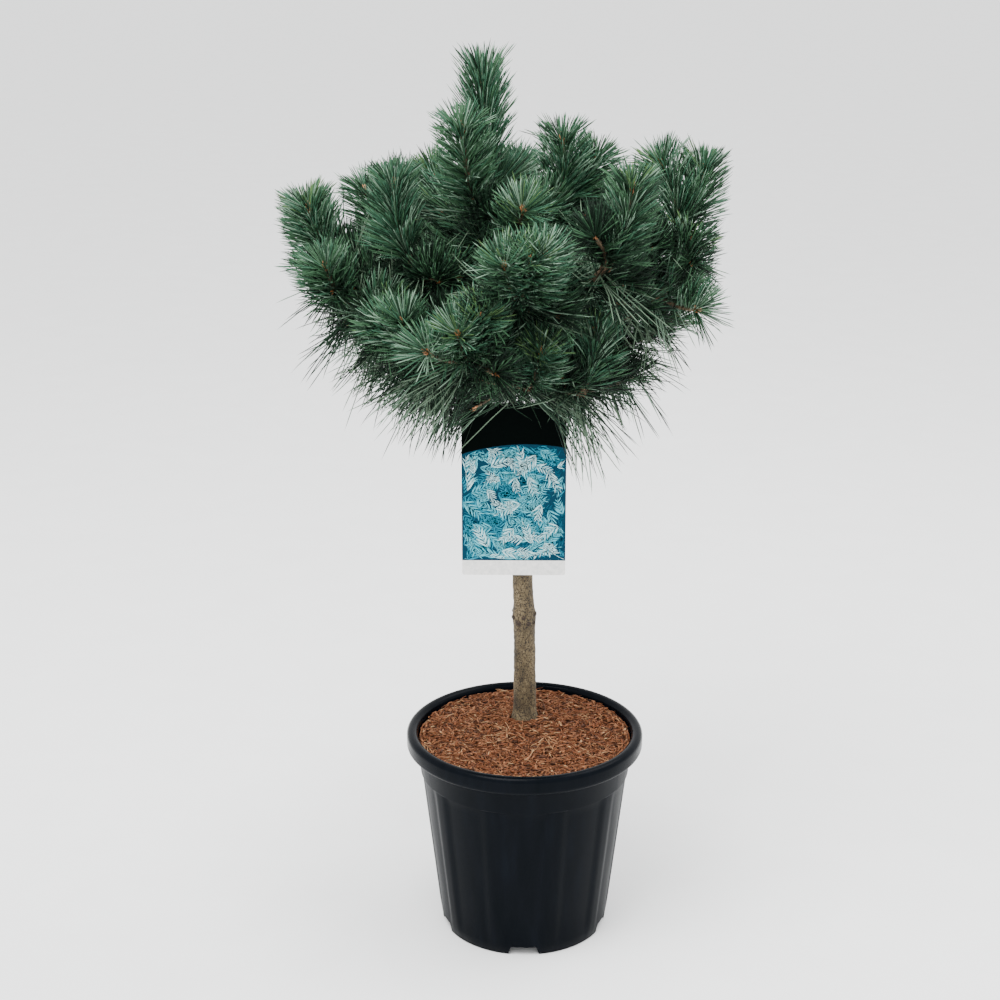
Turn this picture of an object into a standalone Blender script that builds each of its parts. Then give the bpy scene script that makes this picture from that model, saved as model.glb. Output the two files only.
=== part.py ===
# Potted Watereri Scots pine: a young grafted pine in a black nursery pot, with a hanging plant tag.
# Metres, +Z up. The origin is the middle of the pot's flat underside, and the front faces -Y.

import math
import random

import bmesh
import bpy
import numpy as np
from mathutils import Matrix, Vector

# Clearances between neighbouring solids
SEAT_GAP = 0.0003
STRAP_GAP = 0.0005
NEEDLE_GAP = 0.0009
TAG_GAP = 0.0012

# Pot
POT_HEIGHT = 0.250
RIM_RADIUS = 0.1405
RIM_ROLL = 0.0132
RIM_BAND = 0.021
COLLAR_RADIUS = 0.1265
COLLAR_HEIGHT = 0.031
COLLAR_STEP = 0.0015
COLLAR_TAPER = 0.0022
BASE_RADIUS = 0.0990
WALL = 0.0026
FLOOR_PLATE = 0.0030
POT_SIDES = 50
PANELS = 10
PANEL_DEPTH = 0.0020
NOTCHES = 5
NOTCH_WIDTH = 0.035
NOTCH_HEIGHT = 0.0105
NOTCH_REACH = 0.026
NOTCH_FLARE = 0.009
WALL_INSET = 0.0038
FOOT_RING = 0.0135
FOOT_FLARE = 0.0022
PANEL_FOOT = 0.0240
PANEL_HEAD = 0.012
PANEL_TAPER = 0.0012
PANEL_WIDTH = 0.86
PANEL_BLEND = 0.34
RIM_DROP = 0.006
RIM_EDGE = 0.0022
RIM_EDGE_DROP = 0.0014
EDGE_ROUND = 0.0015

# Potting mix
MIX_EDGE_BELOW_RIM = 0.014
MIX_CROWN = 0.006
MIX_SIDES = 30
MIX_RINGS = 4
MIX_FLAT = 0.024
MIX_FALL = 0.11
MIX_CLEARANCE = 0.0008
DRAIN_CLEARANCE = 0.0010

# Trunk, from its cut at the surface of the mix up to the foot of the leader
TRUNK_FOOT = Vector((0.000, 0.045, 0.0))
TRUNK_BENDS = [Vector((-0.002, 0.041, 0.40)), Vector((-0.013, 0.030, 0.56)), Vector((-0.032, 0.018, 0.73))]
TRUNK_TOP = Vector((-0.044, 0.011, 0.862))
TRUNK_FOOT_RADIUS = 0.0138
TRUNK_TOP_RADIUS = 0.0058
FLARE = 0.0030
FLARE_HEIGHT = 0.022
SCAR_HEIGHT = 0.376
SCAR_SWELL = 0.0016
SCAR_LENGTH = 0.011
TRUNK_SIDES = 12
TRUNK_RINGS = 20
SAMPLE_STEP = 0.003

# Limbs
BOUGH_RADII = (0.0056, 0.0044)
OLD_WOOD_RADII = (0.0043, 0.0040)
SHOOT_RADII = (0.0040, 0.0024)
BOUGH_SIDES = 6
BOUGH_STEPS = 6
BOUGH_BEND = 0.55
BOUGH_RISE = 0.12
PATH_STEPS = 24
BARE_STEPS = (7, 17)
SHOOT_STEPS = 6
SHOOT_BEND = 0.45
SHOOT_LIFT = 22
TURN_SWAY = 3
LIFT_SWAY = 2
LENGTH_SWAY = 0.05
WOOD_SIDES = 5
WOOD_TWIST = math.radians(25)
OLD_WOOD = 0.046
CROWN_AXIS = Vector((-0.033, 0.010, 0.0))

# Needles, larger than life: fresh ones on the shoots, old longer ones on the wood behind them
FRESH_LENGTH = 0.054
FRESH_PITCH = 0.0114
FRESH_OPENINGS = (44, 20)
FRESH_SWAY = 4
FRESH_LENGTHS = (0.88, 1.04)
OLD_LENGTH = 0.086
OLD_PITCH = 0.0105
OLD_OPENING = 68
OLD_SWAY = 12
OLD_LENGTHS = (0.85, 1.05)
OLD_SAG = 0.50
NEEDLE_HALF_WIDTH = 0.0042
NEEDLE_ROOT = 0.10
NEEDLE_TESTS = 24
BARE_SHARE = 0.18
SHORTEST_SHARE = 0.42

# Boughs round the crown, in three whorls. Columns: name, height at which it leaves the trunk, azimuth
# from +X, reach of its fork from the crown's axis, height of the fork, shoots, their length, their lift
# above level, the fan between them, the change of lift between them
BOUGHS = [
    ("top_left", 0.820, -114, 0.044, 0.871, 1, 0.102, 66, 0, 0),
    ("top_front", 0.800, -76, 0.056, 0.834, 1, 0.074, 42, 0, 0),
    ("top_right", 0.838, 6, 0.064, 0.868, 2, 0.070, 66, 30, -36),
    ("top_back_right", 0.808, 74, 0.044, 0.846, 1, 0.066, 54, 0, 0),
    ("top_back_left", 0.824, 136, 0.052, 0.846, 1, 0.066, 44, 0, 0),
    ("left_high", 0.728, -154, 0.098, 0.812, 1, 0.094, 77, 0, 0),
    ("front", 0.743, -80, 0.140, 0.798, 3, 0.074, 40, 22, 4),
    ("right_front", 0.758, -42, 0.158, 0.824, 1, 0.090, 71, 0, 0),
    ("right_far", 0.728, 2, 0.198, 0.840, 2, 0.074, 84, 30, -34),
    ("back_right", 0.743, 46, 0.168, 0.806, 2, 0.072, 48, 32, 8),
    ("back", 0.758, 88, 0.160, 0.812, 2, 0.080, 54, 30, -8),
    ("back_left", 0.728, 126, 0.150, 0.806, 2, 0.082, 52, 34, 8),
    ("left_back_high", 0.758, 161, 0.108, 0.810, 1, 0.086, 53, 0, 0),
    ("left_far", 0.743, 179, 0.176, 0.808, 2, 0.070, 60, -44, -6),
    ("left_front_low", 0.672, -132, 0.112, 0.722, 2, 0.066, 40, 36, 6),
    ("front_left_low", 0.702, -102, 0.130, 0.731, 3, 0.068, 32, 26, 15),
    ("front_low", 0.687, -70, 0.098, 0.690, 1, 0.066, 44, 0, 0),
    ("right_front_low", 0.672, -38, 0.120, 0.680, 1, 0.080, 80, 0, 0),
    ("right_low", 0.702, -12, 0.182, 0.782, 2, 0.060, 24, 80, 62),
    ("right_under", 0.687, 8, 0.140, 0.712, 1, 0.064, 24, 0, 0),
    ("back_right_low", 0.672, 48, 0.146, 0.722, 2, 0.074, 30, 40, 10),
    ("back_low", 0.687, 92, 0.140, 0.716, 2, 0.074, 30, 40, -8),
    ("back_left_low", 0.672, 140, 0.144, 0.728, 2, 0.074, 34, 40, 8),
    ("left_low", 0.702, 194, 0.164, 0.770, 2, 0.058, 48, -70, -8),
]
LEADER_STEM = Vector((-0.001, 0.0, 0.030))
LEADER_SHOOT = Vector((-0.003, -0.004, 0.113))
LEADER_AZIMUTH = 150

# A weaker side shoot on each mass's old wood, which takes the freest of these turns and lifts, in degrees
SIDE_ROOT = 0.45
SIDE_LENGTH = 0.058
SIDE_TURNS = (-100, -75, -50, 50, 75, 100)
SIDE_LIFTS = (20, 45, 65)

# Plant tag
CARD_SIZE = (0.120, 0.0010, 0.207)
CARD_TOP = Vector((-0.0135, 0.006, 0.648))
CARD_CORNER = 0.003
STRAP_WIDTH = 0.008
STRAP_THICK = 0.0010
STRAP_HEIGHT = 0.657
STRAP_SIDES = 24
STRAP_LEAN = 0.0004

# Colour, roughness and metallic value of each material
FINISHES = {
    "black_plastic": ((0.012, 0.014, 0.017), 0.42, 0.0),
    "bark_mulch": ((0.26, 0.10, 0.045), 0.95, 0.0),
    "pine_bark": ((0.26, 0.21, 0.14), 0.85, 0.0),
    "young_bark": ((0.22, 0.13, 0.06), 0.80, 0.0),
    "needles": ((0.040, 0.110, 0.060), 0.55, 0.0),
    "printed_card": ((0.10, 0.42, 0.52), 0.45, 0.0),
    "strap_plastic": ((0.70, 0.72, 0.70), 0.50, 0.0),
}


def clear_scene():
    for item in list(bpy.data.objects):
        bpy.data.objects.remove(item, do_unlink=True)


def make_material(name):
    colour, roughness, metallic = FINISHES[name]
    material = bpy.data.materials.new(name)
    material.use_nodes = True
    shader = material.node_tree.nodes["Principled BSDF"]
    shader.inputs["Base Color"].default_value = (*colour, 1.0)
    shader.inputs["Roughness"].default_value = roughness
    shader.inputs["Metallic"].default_value = metallic
    return material


def make_object(name, bm, material, smooth_angle=35.0):
    mesh = bpy.data.meshes.new(name)
    bm.to_mesh(mesh)
    bm.free()
    if smooth_angle:
        mesh.shade_smooth()
        mesh.set_sharp_from_angle(angle=math.radians(smooth_angle))
    mesh.materials.append(material)
    item = bpy.data.objects.new(name, mesh)
    bpy.context.scene.collection.objects.link(item)
    return item


# Meshes with closed rings of equal length, laid from the first ring to the last
def loft(bm, rings):
    rows = [[bm.verts.new(point) for point in ring] for ring in rings]
    count = len(rows[0])
    for low, high in zip(rows, rows[1:]):
        for i in range(count):
            j = (i + 1) % count
            bm.faces.new((low[i], low[j], high[j], high[i]))
    bm.faces.new(reversed(rows[0]))
    bm.faces.new(rows[-1])
    return rows


def ring_around(centre, direction, guide, radius, sides):
    side = guide - direction * guide.dot(direction)
    side.normalize()
    up = direction.cross(side)
    angles = [2 * math.pi * i / sides for i in range(sides)]
    return [centre + radius * (math.cos(a) * side + math.sin(a) * up) for a in angles]


def directions_along(points, first, last):
    inner = [(after - before).normalized() for before, after in zip(points, points[2:])]
    return [first, *inner, last]


def guide_for(direction):
    return Vector((0, 0, 1)) if abs(direction.z) < 0.8 else Vector((1, 0, 0))


def bezier(start, middle, end, steps):
    shares = [i / steps for i in range(steps + 1)]
    return [start * (1 - t) ** 2 + middle * 2 * t * (1 - t) + end * t * t for t in shares]


def taper(ends, count):
    return [ends[0] + (ends[1] - ends[0]) * i / (count - 1) for i in range(count)]


def heading(azimuth, lift):
    a, b = math.radians(azimuth), math.radians(lift)
    return Vector((math.cos(a) * math.cos(b), math.sin(a) * math.cos(b), math.sin(b)))


# Pot: outside up from the foot, over the rolled rim and down the inside to the floor plate, as rows of
# radius, height and share of the panel depth
def pot_profile():
    band_foot = POT_HEIGHT - RIM_BAND
    collar_foot = band_foot - COLLAR_HEIGHT
    wall_top = COLLAR_RADIUS - COLLAR_STEP - COLLAR_TAPER
    mouth = RIM_RADIUS - RIM_ROLL
    wall = [
        (BASE_RADIUS + WALL_INSET, PANEL_FOOT, 1.0),
        (wall_top - PANEL_TAPER, collar_foot - PANEL_HEAD, 1.0),
        (wall_top, collar_foot - EDGE_ROUND, 0.6),
    ]
    foot = [(BASE_RADIUS, 0.0, 0.0), (BASE_RADIUS + FOOT_FLARE, FOOT_RING, 0.3)]
    rim = [
        (wall_top + COLLAR_STEP, collar_foot, 0.0),
        (COLLAR_RADIUS + PANEL_TAPER * 1.5, band_foot, 0.0),
        (RIM_RADIUS - PANEL_TAPER, band_foot + EDGE_ROUND / 3, 0.0),
        (RIM_RADIUS, band_foot + EDGE_ROUND * 2, 0.0),
        (RIM_RADIUS, POT_HEIGHT - RIM_DROP, 0.0),
        (RIM_RADIUS - RIM_EDGE, POT_HEIGHT - RIM_EDGE_DROP, 0.0),
        (RIM_RADIUS - RIM_ROLL / 2, POT_HEIGHT, 0.0),
        (mouth + RIM_EDGE, POT_HEIGHT - RIM_EDGE_DROP, 0.0),
        (mouth, POT_HEIGHT - RIM_DROP, 0.0),
        (COLLAR_RADIUS - WALL, band_foot - EDGE_ROUND, 0.0),
    ]
    inner_wall = [(radius - WALL, height, panelled) for radius, height, panelled in reversed(wall)]
    return foot + wall + rim + inner_wall + [(BASE_RADIUS - WALL, FLOOR_PLATE, 0.0)]


# Share of the panel depth at an angle: full across a panel, none on the land between two panels
def panel_share(angle):
    step = 2 * math.pi / PANELS
    offset = abs((angle + step / 2) % step - step / 2) / (step / 2)
    return min(1.0, max(0.0, (PANEL_WIDTH - offset) / PANEL_BLEND))


def pot_ring(radius, height, panelled):
    ring = []
    for i in range(POT_SIDES):
        angle = 2 * math.pi * i / POT_SIDES
        reach = radius - PANEL_DEPTH * panelled * panel_share(angle)
        ring.append(Vector((reach * math.sin(angle), -reach * math.cos(angle), height)))
    return ring


def notch_cutter(angle):
    bm = bmesh.new()
    rings = []
    widths = (NOTCH_WIDTH + NOTCH_FLARE, NOTCH_WIDTH - NOTCH_FLARE / 2)
    for height, width in zip((-NOTCH_HEIGHT, NOTCH_HEIGHT), widths):
        inner, outer = BASE_RADIUS - NOTCH_REACH, BASE_RADIUS + NOTCH_REACH
        corners = [(-width / 2, -outer), (width / 2, -outer), (width / 2, -inner), (-width / 2, -inner)]
        rings.append([Vector((x, y, height)) for x, y in corners])
    loft(bm, rings)
    bmesh.ops.rotate(bm, verts=bm.verts, cent=(0, 0, 0), matrix=Matrix.Rotation(angle, 3, "Z"))
    return bm


def make_pot():
    bm = bmesh.new()
    loft(bm, [pot_ring(*point) for point in pot_profile()])
    pot = make_object("pot", bm, make_material("black_plastic"))
    cutters = bpy.data.collections.new("notch_cutters")
    bpy.context.scene.collection.children.link(cutters)
    for i in range(NOTCHES):
        mesh = bpy.data.meshes.new("notch")
        cutter_bm = notch_cutter(2 * math.pi * i / NOTCHES)
        cutter_bm.to_mesh(mesh)
        cutter_bm.free()
        cutters.objects.link(bpy.data.objects.new("notch", mesh))
    apply_boolean(pot, cutters, "DIFFERENCE")
    return pot


# A Boolean with every object of a collection, applied, with those objects then removed
def apply_boolean(item, operands, operation, solver="EXACT"):
    modifier = item.modifiers.new("Boolean", "BOOLEAN")
    modifier.operation = operation
    modifier.operand_type = "COLLECTION"
    modifier.collection = operands
    modifier.solver = solver
    depsgraph = bpy.context.evaluated_depsgraph_get()
    result = bpy.data.meshes.new_from_object(item.evaluated_get(depsgraph))
    item.modifiers.remove(modifier)
    item.data = result
    for operand in list(operands.objects):
        bpy.data.objects.remove(operand, do_unlink=True)
    bpy.data.collections.remove(operands)


# Potting mix: level under the trunk's foot, falling a little towards the wall
def mix_top(x, y):
    away = math.hypot(x - TRUNK_FOOT.x, y - TRUNK_FOOT.y)
    foot_share = min(1.0, max(0.0, (away - MIX_FLAT) / MIX_FALL))
    return POT_HEIGHT - MIX_EDGE_BELOW_RIM + MIX_CROWN * (1 - foot_share ** 1.5)


def mix_ring(share):
    edge = COLLAR_RADIUS - WALL - SEAT_GAP
    centre = TRUNK_FOOT * (1 - share)
    ring = []
    for i in range(MIX_SIDES):
        angle = 2 * math.pi * i / MIX_SIDES
        x = centre.x + edge * share * math.sin(angle)
        y = centre.y - edge * share * math.cos(angle)
        ring.append(Vector((x, y, mix_top(x, y))))
    return ring


def round_ring(radius, height):
    angles = [2 * math.pi * i / MIX_SIDES for i in range(MIX_SIDES)]
    return [Vector((radius * math.sin(a), -radius * math.cos(a), height)) for a in angles]


def make_mix():
    side_gap = WALL + PANEL_DEPTH + SEAT_GAP + MIX_CLEARANCE
    wall_top = COLLAR_RADIUS - COLLAR_STEP - COLLAR_TAPER - PANEL_TAPER
    collar_foot = POT_HEIGHT - RIM_BAND - COLLAR_HEIGHT
    plinth = BASE_RADIUS - NOTCH_REACH - 4 * DRAIN_CLEARANCE
    drain = NOTCH_HEIGHT + DRAIN_CLEARANCE
    rings = [
        round_ring(plinth, FLOOR_PLATE + SEAT_GAP),
        round_ring(plinth + DRAIN_CLEARANCE, drain),
        round_ring(BASE_RADIUS - side_gap, drain),
        round_ring(wall_top - side_gap, collar_foot - PANEL_HEAD),
        round_ring(COLLAR_RADIUS - WALL - SEAT_GAP - MIX_CLEARANCE, POT_HEIGHT - RIM_BAND - PANEL_HEAD / 3),
    ]
    rings += [mix_ring(share / MIX_RINGS) for share in range(MIX_RINGS, 0, -1)]
    bm = bmesh.new()
    rows = loft(bm, rings)
    foot_verts = rows[-1]
    cap = next(face for face in foot_verts[0].link_faces if len(face.verts) == MIX_SIDES)
    bmesh.ops.inset_region(bm, faces=[cap], thickness=DRAIN_CLEARANCE)
    return make_object("potting_mix", bm, make_material("bark_mulch"))


# Trunk: a smooth curve through its bends, with a flare at the foot and a ring of old branch scars
def trunk_foot():
    foot = TRUNK_FOOT.copy()
    foot.z = mix_top(foot.x, foot.y) + SEAT_GAP
    return foot


def trunk_point(height):
    marks = [trunk_foot()] + TRUNK_BENDS + [TRUNK_TOP]
    heights = [mark.z for mark in marks]
    x = smooth_value(height, heights, [mark.x for mark in marks])
    y = smooth_value(height, heights, [mark.y for mark in marks])
    return Vector((x, y, height))


# A cubic through the marks whose slope at each inner mark is that of the chord past it
def smooth_value(at, places, values):
    last = len(places) - 1
    slopes = [(values[min(i + 1, last)] - values[max(i - 1, 0)])
              / (places[min(i + 1, last)] - places[max(i - 1, 0)]) for i in range(last + 1)]
    slopes[0] = 0.0
    i = max(k for k in range(last) if places[k] <= max(at, places[0]))
    span = places[i + 1] - places[i]
    t = (at - places[i]) / span
    start, end = values[i], values[i + 1]
    bend = slopes[i] * span * t * (1 - t) ** 2 - slopes[i + 1] * span * t * t * (1 - t)
    return start + (end - start) * t * t * (3 - 2 * t) + bend


def trunk_radius(height):
    foot = trunk_foot().z
    share = (height - foot) / (TRUNK_TOP.z - foot)
    plain = TRUNK_FOOT_RADIUS + (TRUNK_TOP_RADIUS - TRUNK_FOOT_RADIUS) * share ** 1.25
    flare = FLARE * max(0.0, 1 - (height - foot) / FLARE_HEIGHT) ** 2
    scars = SCAR_SWELL * math.exp(-((height - SCAR_HEIGHT) / SCAR_LENGTH) ** 2)
    return plain + flare + scars


def trunk_heights():
    foot = trunk_foot().z
    flare = [foot, foot + FLARE_HEIGHT * 0.25, foot + FLARE_HEIGHT * 0.55]
    scars = [SCAR_HEIGHT + SCAR_LENGTH * share for share in (-1.25, -0.55, 0.55, 1.25)]
    rest = [foot + FLARE_HEIGHT + (TRUNK_TOP.z - foot - FLARE_HEIGHT) * i / TRUNK_RINGS
            for i in range(TRUNK_RINGS + 1)]
    spaced = [z for z in rest if min(abs(z - scar) for scar in scars) > SCAR_LENGTH / 2]
    return sorted(flare + scars + spaced)


def make_trunk():
    bm = bmesh.new()
    rings = []
    for height in trunk_heights():
        rings.append(ring_around(trunk_point(height), Vector((0, 0, 1)), Vector((1, 0, 0)),
                                 trunk_radius(height), TRUNK_SIDES))
    loft(bm, rings)
    return make_object("trunk", bm, make_material("pine_bark"))


# Limbs of one bough: the bough itself, the old wood that goes on from its tip, and the shoots at the fork
def plan_bough(row, index):
    name, leave, azimuth, reach, height, shoots, length, lift, fan, lift_step = row
    rng = random.Random(4100 + index)
    fork = CROWN_AXIS + heading(azimuth, 0) * reach
    fork.z = height
    axis = trunk_point(leave)
    outward = Vector((fork.x - axis.x, fork.y - axis.y, 0.0))
    lean = (trunk_point(leave + 0.004) - trunk_point(leave - 0.004)).normalized()
    face = (outward - lean * outward.dot(lean)).normalized()
    start = axis + face * (trunk_radius(leave) + SEAT_GAP)
    middle = start + outward * BOUGH_BEND + Vector((0, 0, (height - leave) * BOUGH_RISE))
    path = bezier(start, middle, fork, PATH_STEPS)
    cut = round(PATH_STEPS * (1 - OLD_WOOD / path_length(path)))
    cut = max(BARE_STEPS[0], min(BARE_STEPS[1], cut))
    heads = []
    for i in range(shoots):
        place = i - (shoots - 1) / 2
        turn = azimuth + fan * place + rng.uniform(-TURN_SWAY, TURN_SWAY)
        rise = lift + lift_step * place + rng.uniform(-LIFT_SWAY, LIFT_SWAY)
        reach_out = length * rng.uniform(1 - LENGTH_SWAY, 1 + LENGTH_SWAY)
        tip = fork + heading(turn, rise) * reach_out
        bend = fork + heading(turn, rise - SHOOT_LIFT) * reach_out * SHOOT_BEND
        heads.append(bezier(fork, bend, tip, SHOOT_STEPS))
    seat = (path[cut + 1] - path[cut - 1]).normalized()
    old_wood = [path[cut] + seat * SEAT_GAP, *path[cut + 1:]]
    return {"name": name, "azimuth": azimuth, "bough": resampled(path[:cut + 1], BOUGH_STEPS), "face": face,
            "seat": seat, "old_wood": old_wood, "shoots": heads}


def plan_leader():
    foot = TRUNK_TOP + Vector((0, 0, SEAT_GAP))
    fork = foot + LEADER_STEM
    tip = fork + LEADER_SHOOT
    old_wood = bezier(foot, (foot + fork) / 2, fork, 4)
    shoots = [bezier(fork, (fork + tip) / 2, tip, SHOOT_STEPS)]
    return {"name": "leader", "azimuth": LEADER_AZIMUTH, "bough": [], "seat": Vector((0, 0, 1)),
            "old_wood": old_wood, "shoots": shoots}


# A side shoot for each mass: of the ways it could grow, the one that stays furthest from all other wood
def add_side_shoots(plans):
    for plan in plans:
        others = [other["bough"][2:] for other in plans if other["bough"]]
        others += [path for other in plans for path in woods_of(other)]
        taken = np.vstack([samples(path) for path in others])
        step = round(SIDE_ROOT * (len(plan["old_wood"]) - 1))
        root = plan["old_wood"][step]
        along = (plan["old_wood"][step + 1] - plan["old_wood"][step - 1]).normalized()
        turns = [plan["azimuth"] + turn for turn in SIDE_TURNS]
        ways = [side_path(root, along, turn, lift) for turn in turns for lift in SIDE_LIFTS]
        plan["shoots"].append(max(ways, key=lambda way: nearest(samples(way[len(way) // 2:]), taken).min()))


def side_path(root, along, turn, lift):
    tip = root + heading(turn, lift) * SIDE_LENGTH
    return bezier(root, root + (along + heading(turn, lift)) * SIDE_LENGTH / 4, tip, SHOOT_STEPS)


def make_boughs(plans):
    bark = make_material("young_bark")
    for plan in plans:
        if plan["bough"]:
            make_object("bough_" + plan["name"], bough_mesh(plan), bark)


def bough_mesh(plan):
    points = plan["bough"]
    directions = directions_along(points, plan["face"], plan["seat"])
    radii = taper(BOUGH_RADII, len(points))
    rings = [ring_around(point, direction, guide_for(plan["face"]), radius, BOUGH_SIDES)
             for point, direction, radius in zip(points, directions, radii)]
    bm = bmesh.new()
    loft(bm, rings)
    return bm


# Points every few millimetres along a path, as rows of x, y and z
def samples(path):
    rows = []
    for a, b in zip(path, path[1:]):
        count = max(1, round((b - a).length / SAMPLE_STEP))
        rows += [a.lerp(b, i / count) for i in range(count)]
    rows.append(path[-1])
    return np.array([tuple(row) for row in rows])


# The space that one wood's needles may fill: nearer to it than to any other wood, and clear of every limb
class Space:
    def __init__(self, plans, index, part):
        own = woods_of(plans[index])
        self.own = samples(own[part])
        self.siblings = [samples(path) for k, path in enumerate(own) if k != part]
        self.others = np.vstack([samples(path) for i, plan in enumerate(plans) if i != index
                                 for path in woods_of(plan)])
        boughs = [samples(plan["bough"]) for plan in plans if plan["bough"]]
        heights = np.arange(trunk_foot().z, TRUNK_TOP.z, SAMPLE_STEP)
        trunk = np.array([tuple(trunk_point(height)) for height in heights])
        trunk_radii = [trunk_radius(height) for height in heights]
        self.limbs = np.vstack(boughs + [trunk])
        self.limb_radii = np.array([BOUGH_RADII[0]] * sum(len(rows) for rows in boughs) + trunk_radii)

    # Share of a needle's length, from its root on, that stays inside the space
    def free_share(self, root, direction, length):
        shares = np.linspace(NEEDLE_ROOT, 1.0, NEEDLE_TESTS)
        points = np.array(tuple(root)) + np.outer(shares * length, np.array(tuple(direction)))
        half = NEEDLE_HALF_WIDTH * (1 - shares)
        own = nearest(points, self.own)
        blocked = own + 2 * half + NEEDLE_GAP > nearest(points, self.others)
        blocked |= nearest(points, self.limbs, self.limb_radii) < half + NEEDLE_GAP
        blocked |= in_tag(points, half)
        for sibling in self.siblings:
            blocked |= own > nearest(points, sibling)
        if not blocked.any():
            return 1.0
        return float(shares[int(np.argmax(blocked)) - 1]) if not blocked[0] else 0.0


def nearest(points, targets, radii=0.0):
    return (np.linalg.norm(points[:, None, :] - targets[None, :, :], axis=2) - radii).min(axis=1)


def woods_of(plan):
    return [plan["old_wood"], *plan["shoots"]]


# True for each point that comes too near the card or its strap
def in_tag(points, half):
    away = TAG_GAP + half
    card = (np.abs(points[:, 0] - CARD_TOP.x) < CARD_SIZE[0] / 2 + away) \
        & (np.abs(points[:, 1] - CARD_TOP.y) < CARD_SIZE[1] / 2 + away) & (points[:, 2] < CARD_TOP.z + away)
    axis = trunk_point(STRAP_HEIGHT)
    ring = trunk_radius(STRAP_HEIGHT - STRAP_WIDTH) + STRAP_GAP + STRAP_THICK
    strap = (np.hypot(points[:, 0] - axis.x, points[:, 1] - axis.y) < ring + away) \
        & (np.abs(points[:, 2] - STRAP_HEIGHT) < STRAP_WIDTH / 2 + away)
    tongue = (np.abs(points[:, 0] - axis.x) < STRAP_WIDTH / 2 + away) \
        & (points[:, 1] > CARD_TOP.y - away - STRAP_THICK) & (points[:, 1] < axis.y) \
        & (np.abs(points[:, 2] - STRAP_HEIGHT) < 2 * STRAP_WIDTH + away)
    return card | strap | tongue


def spread(direction, around, opening):
    return (direction * math.cos(opening) + around * math.sin(opening)).normalized()


def path_length(path):
    return sum((b - a).length for a, b in zip(path, path[1:]))


def resampled(path, count):
    shares = [i * (len(path) - 1) / count for i in range(count)]
    return [path[int(place)].lerp(path[int(place) + 1], place - int(place)) for place in shares] + [path[-1]]


# Fresh needles stand forward round a shoot, closer to it near the bud
def fresh_needle(share, direction, around, rng):
    opening = FRESH_OPENINGS[0] + (FRESH_OPENINGS[1] - FRESH_OPENINGS[0]) * share ** 1.5
    aim = spread(direction, around, math.radians(opening + rng.uniform(-FRESH_SWAY, FRESH_SWAY)))
    return aim, FRESH_LENGTH * rng.uniform(*FRESH_LENGTHS)


# Old needles stand out from the wood behind the shoots and hang a little
def old_needle(share, direction, around, rng):
    aim = spread(direction, around, math.radians(OLD_OPENING + rng.uniform(-OLD_SWAY, OLD_SWAY)))
    return (aim + Vector((0, 0, -OLD_SAG))).normalized(), OLD_LENGTH * rng.uniform(*OLD_LENGTHS)


# Wood with needles: a slim core whose faces are drawn out into needles where its space allows
def needled_wood(path, seat, radii, pitch, needle, space, rng):
    points = resampled(path, max(3, round(path_length(path) / pitch)))
    directions = directions_along(points, seat, (points[-1] - points[-2]).normalized())
    guide = guide_for(directions[len(points) // 2])
    bm = bmesh.new()
    rows = []
    for i, (point, radius) in enumerate(zip(points, taper(radii, len(points)))):
        turned = Matrix.Rotation(WOOD_TWIST * i, 3, directions[i]) @ guide
        ring = ring_around(point, directions[i], turned, radius, WOOD_SIDES)
        rows.append([bm.verts.new(corner) for corner in ring])
    for i, (low, high) in enumerate(zip(rows, rows[1:])):
        middle = (points[i] + points[i + 1]) / 2
        for k in range(WOOD_SIDES):
            quad = (low[k], low[(k + 1) % WOOD_SIDES], high[(k + 1) % WOOD_SIDES], high[k])
            centre = sum((vert.co for vert in quad), Vector()) / 4
            around = centre - middle
            around = (around - directions[i] * around.dot(directions[i])).normalized()
            aim, length = needle((i + 0.5) / (len(points) - 1), directions[i], around, rng)
            share = space.free_share(centre, aim, length) if rng.random() > BARE_SHARE else 0.0
            if share < SHORTEST_SHARE:
                bm.faces.new(quad)
                continue
            tip = bm.verts.new(centre + aim * length * share)
            for a, b in zip(quad, quad[1:] + quad[:1]):
                bm.faces.new((a, b, tip))
    bm.faces.new(reversed(rows[0]))
    bud = bm.verts.new(points[-1] + directions[-1] * radii[1] * 3)
    for k in range(WOOD_SIDES):
        bm.faces.new((rows[-1][k], rows[-1][(k + 1) % WOOD_SIDES], bud))
    return bm


# A mass: the old wood at a bough's tip and the shoots at its fork, joined into one solid
def make_mass(plans, index, material):
    plan = plans[index]
    rng = random.Random(7300 + index)
    woods = [(plan["old_wood"], OLD_WOOD_RADII, OLD_PITCH, old_needle)]
    woods += [(shoot, SHOOT_RADII, FRESH_PITCH, fresh_needle) for shoot in plan["shoots"]]
    pieces = bpy.data.collections.new("pieces")
    bpy.context.scene.collection.children.link(pieces)
    for k, (path, radii, pitch, needle) in enumerate(woods):
        seat = plan["seat"] if k == 0 else (path[1] - path[0]).normalized()
        bm = needled_wood(path, seat, radii, pitch, needle, Space(plans, index, k), rng)
        if k == 0:
            mass = make_object("mass_" + plan["name"], bm, material)
        else:
            add_piece(pieces, bm)
    apply_boolean(mass, pieces, "UNION", "MANIFOLD")
    keep_main_body(mass)
    return mass


# Keeps the largest body of a mesh: fills hollows that needles sealed between them and drops loose scraps
def keep_main_body(item):
    bm = bmesh.new()
    bm.from_mesh(item.data)
    bmesh.ops.triangulate(bm, faces=bm.faces)
    left, bodies = set(bm.faces), []
    while left:
        body, front = set(), {left.pop()}
        while front:
            face = front.pop()
            body.add(face)
            pairs = [edge.link_faces for edge in face.edges if len(edge.link_faces) == 2]
            near = {other for pair in pairs for other in pair if other in left}
            left -= near
            front |= near
        bodies.append(body)
    bodies.sort(key=len)
    scraps = [face for body in bodies[:-1] for face in body]
    bmesh.ops.delete(bm, geom=scraps, context="FACES")
    bm.to_mesh(item.data)
    bm.free()


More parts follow.
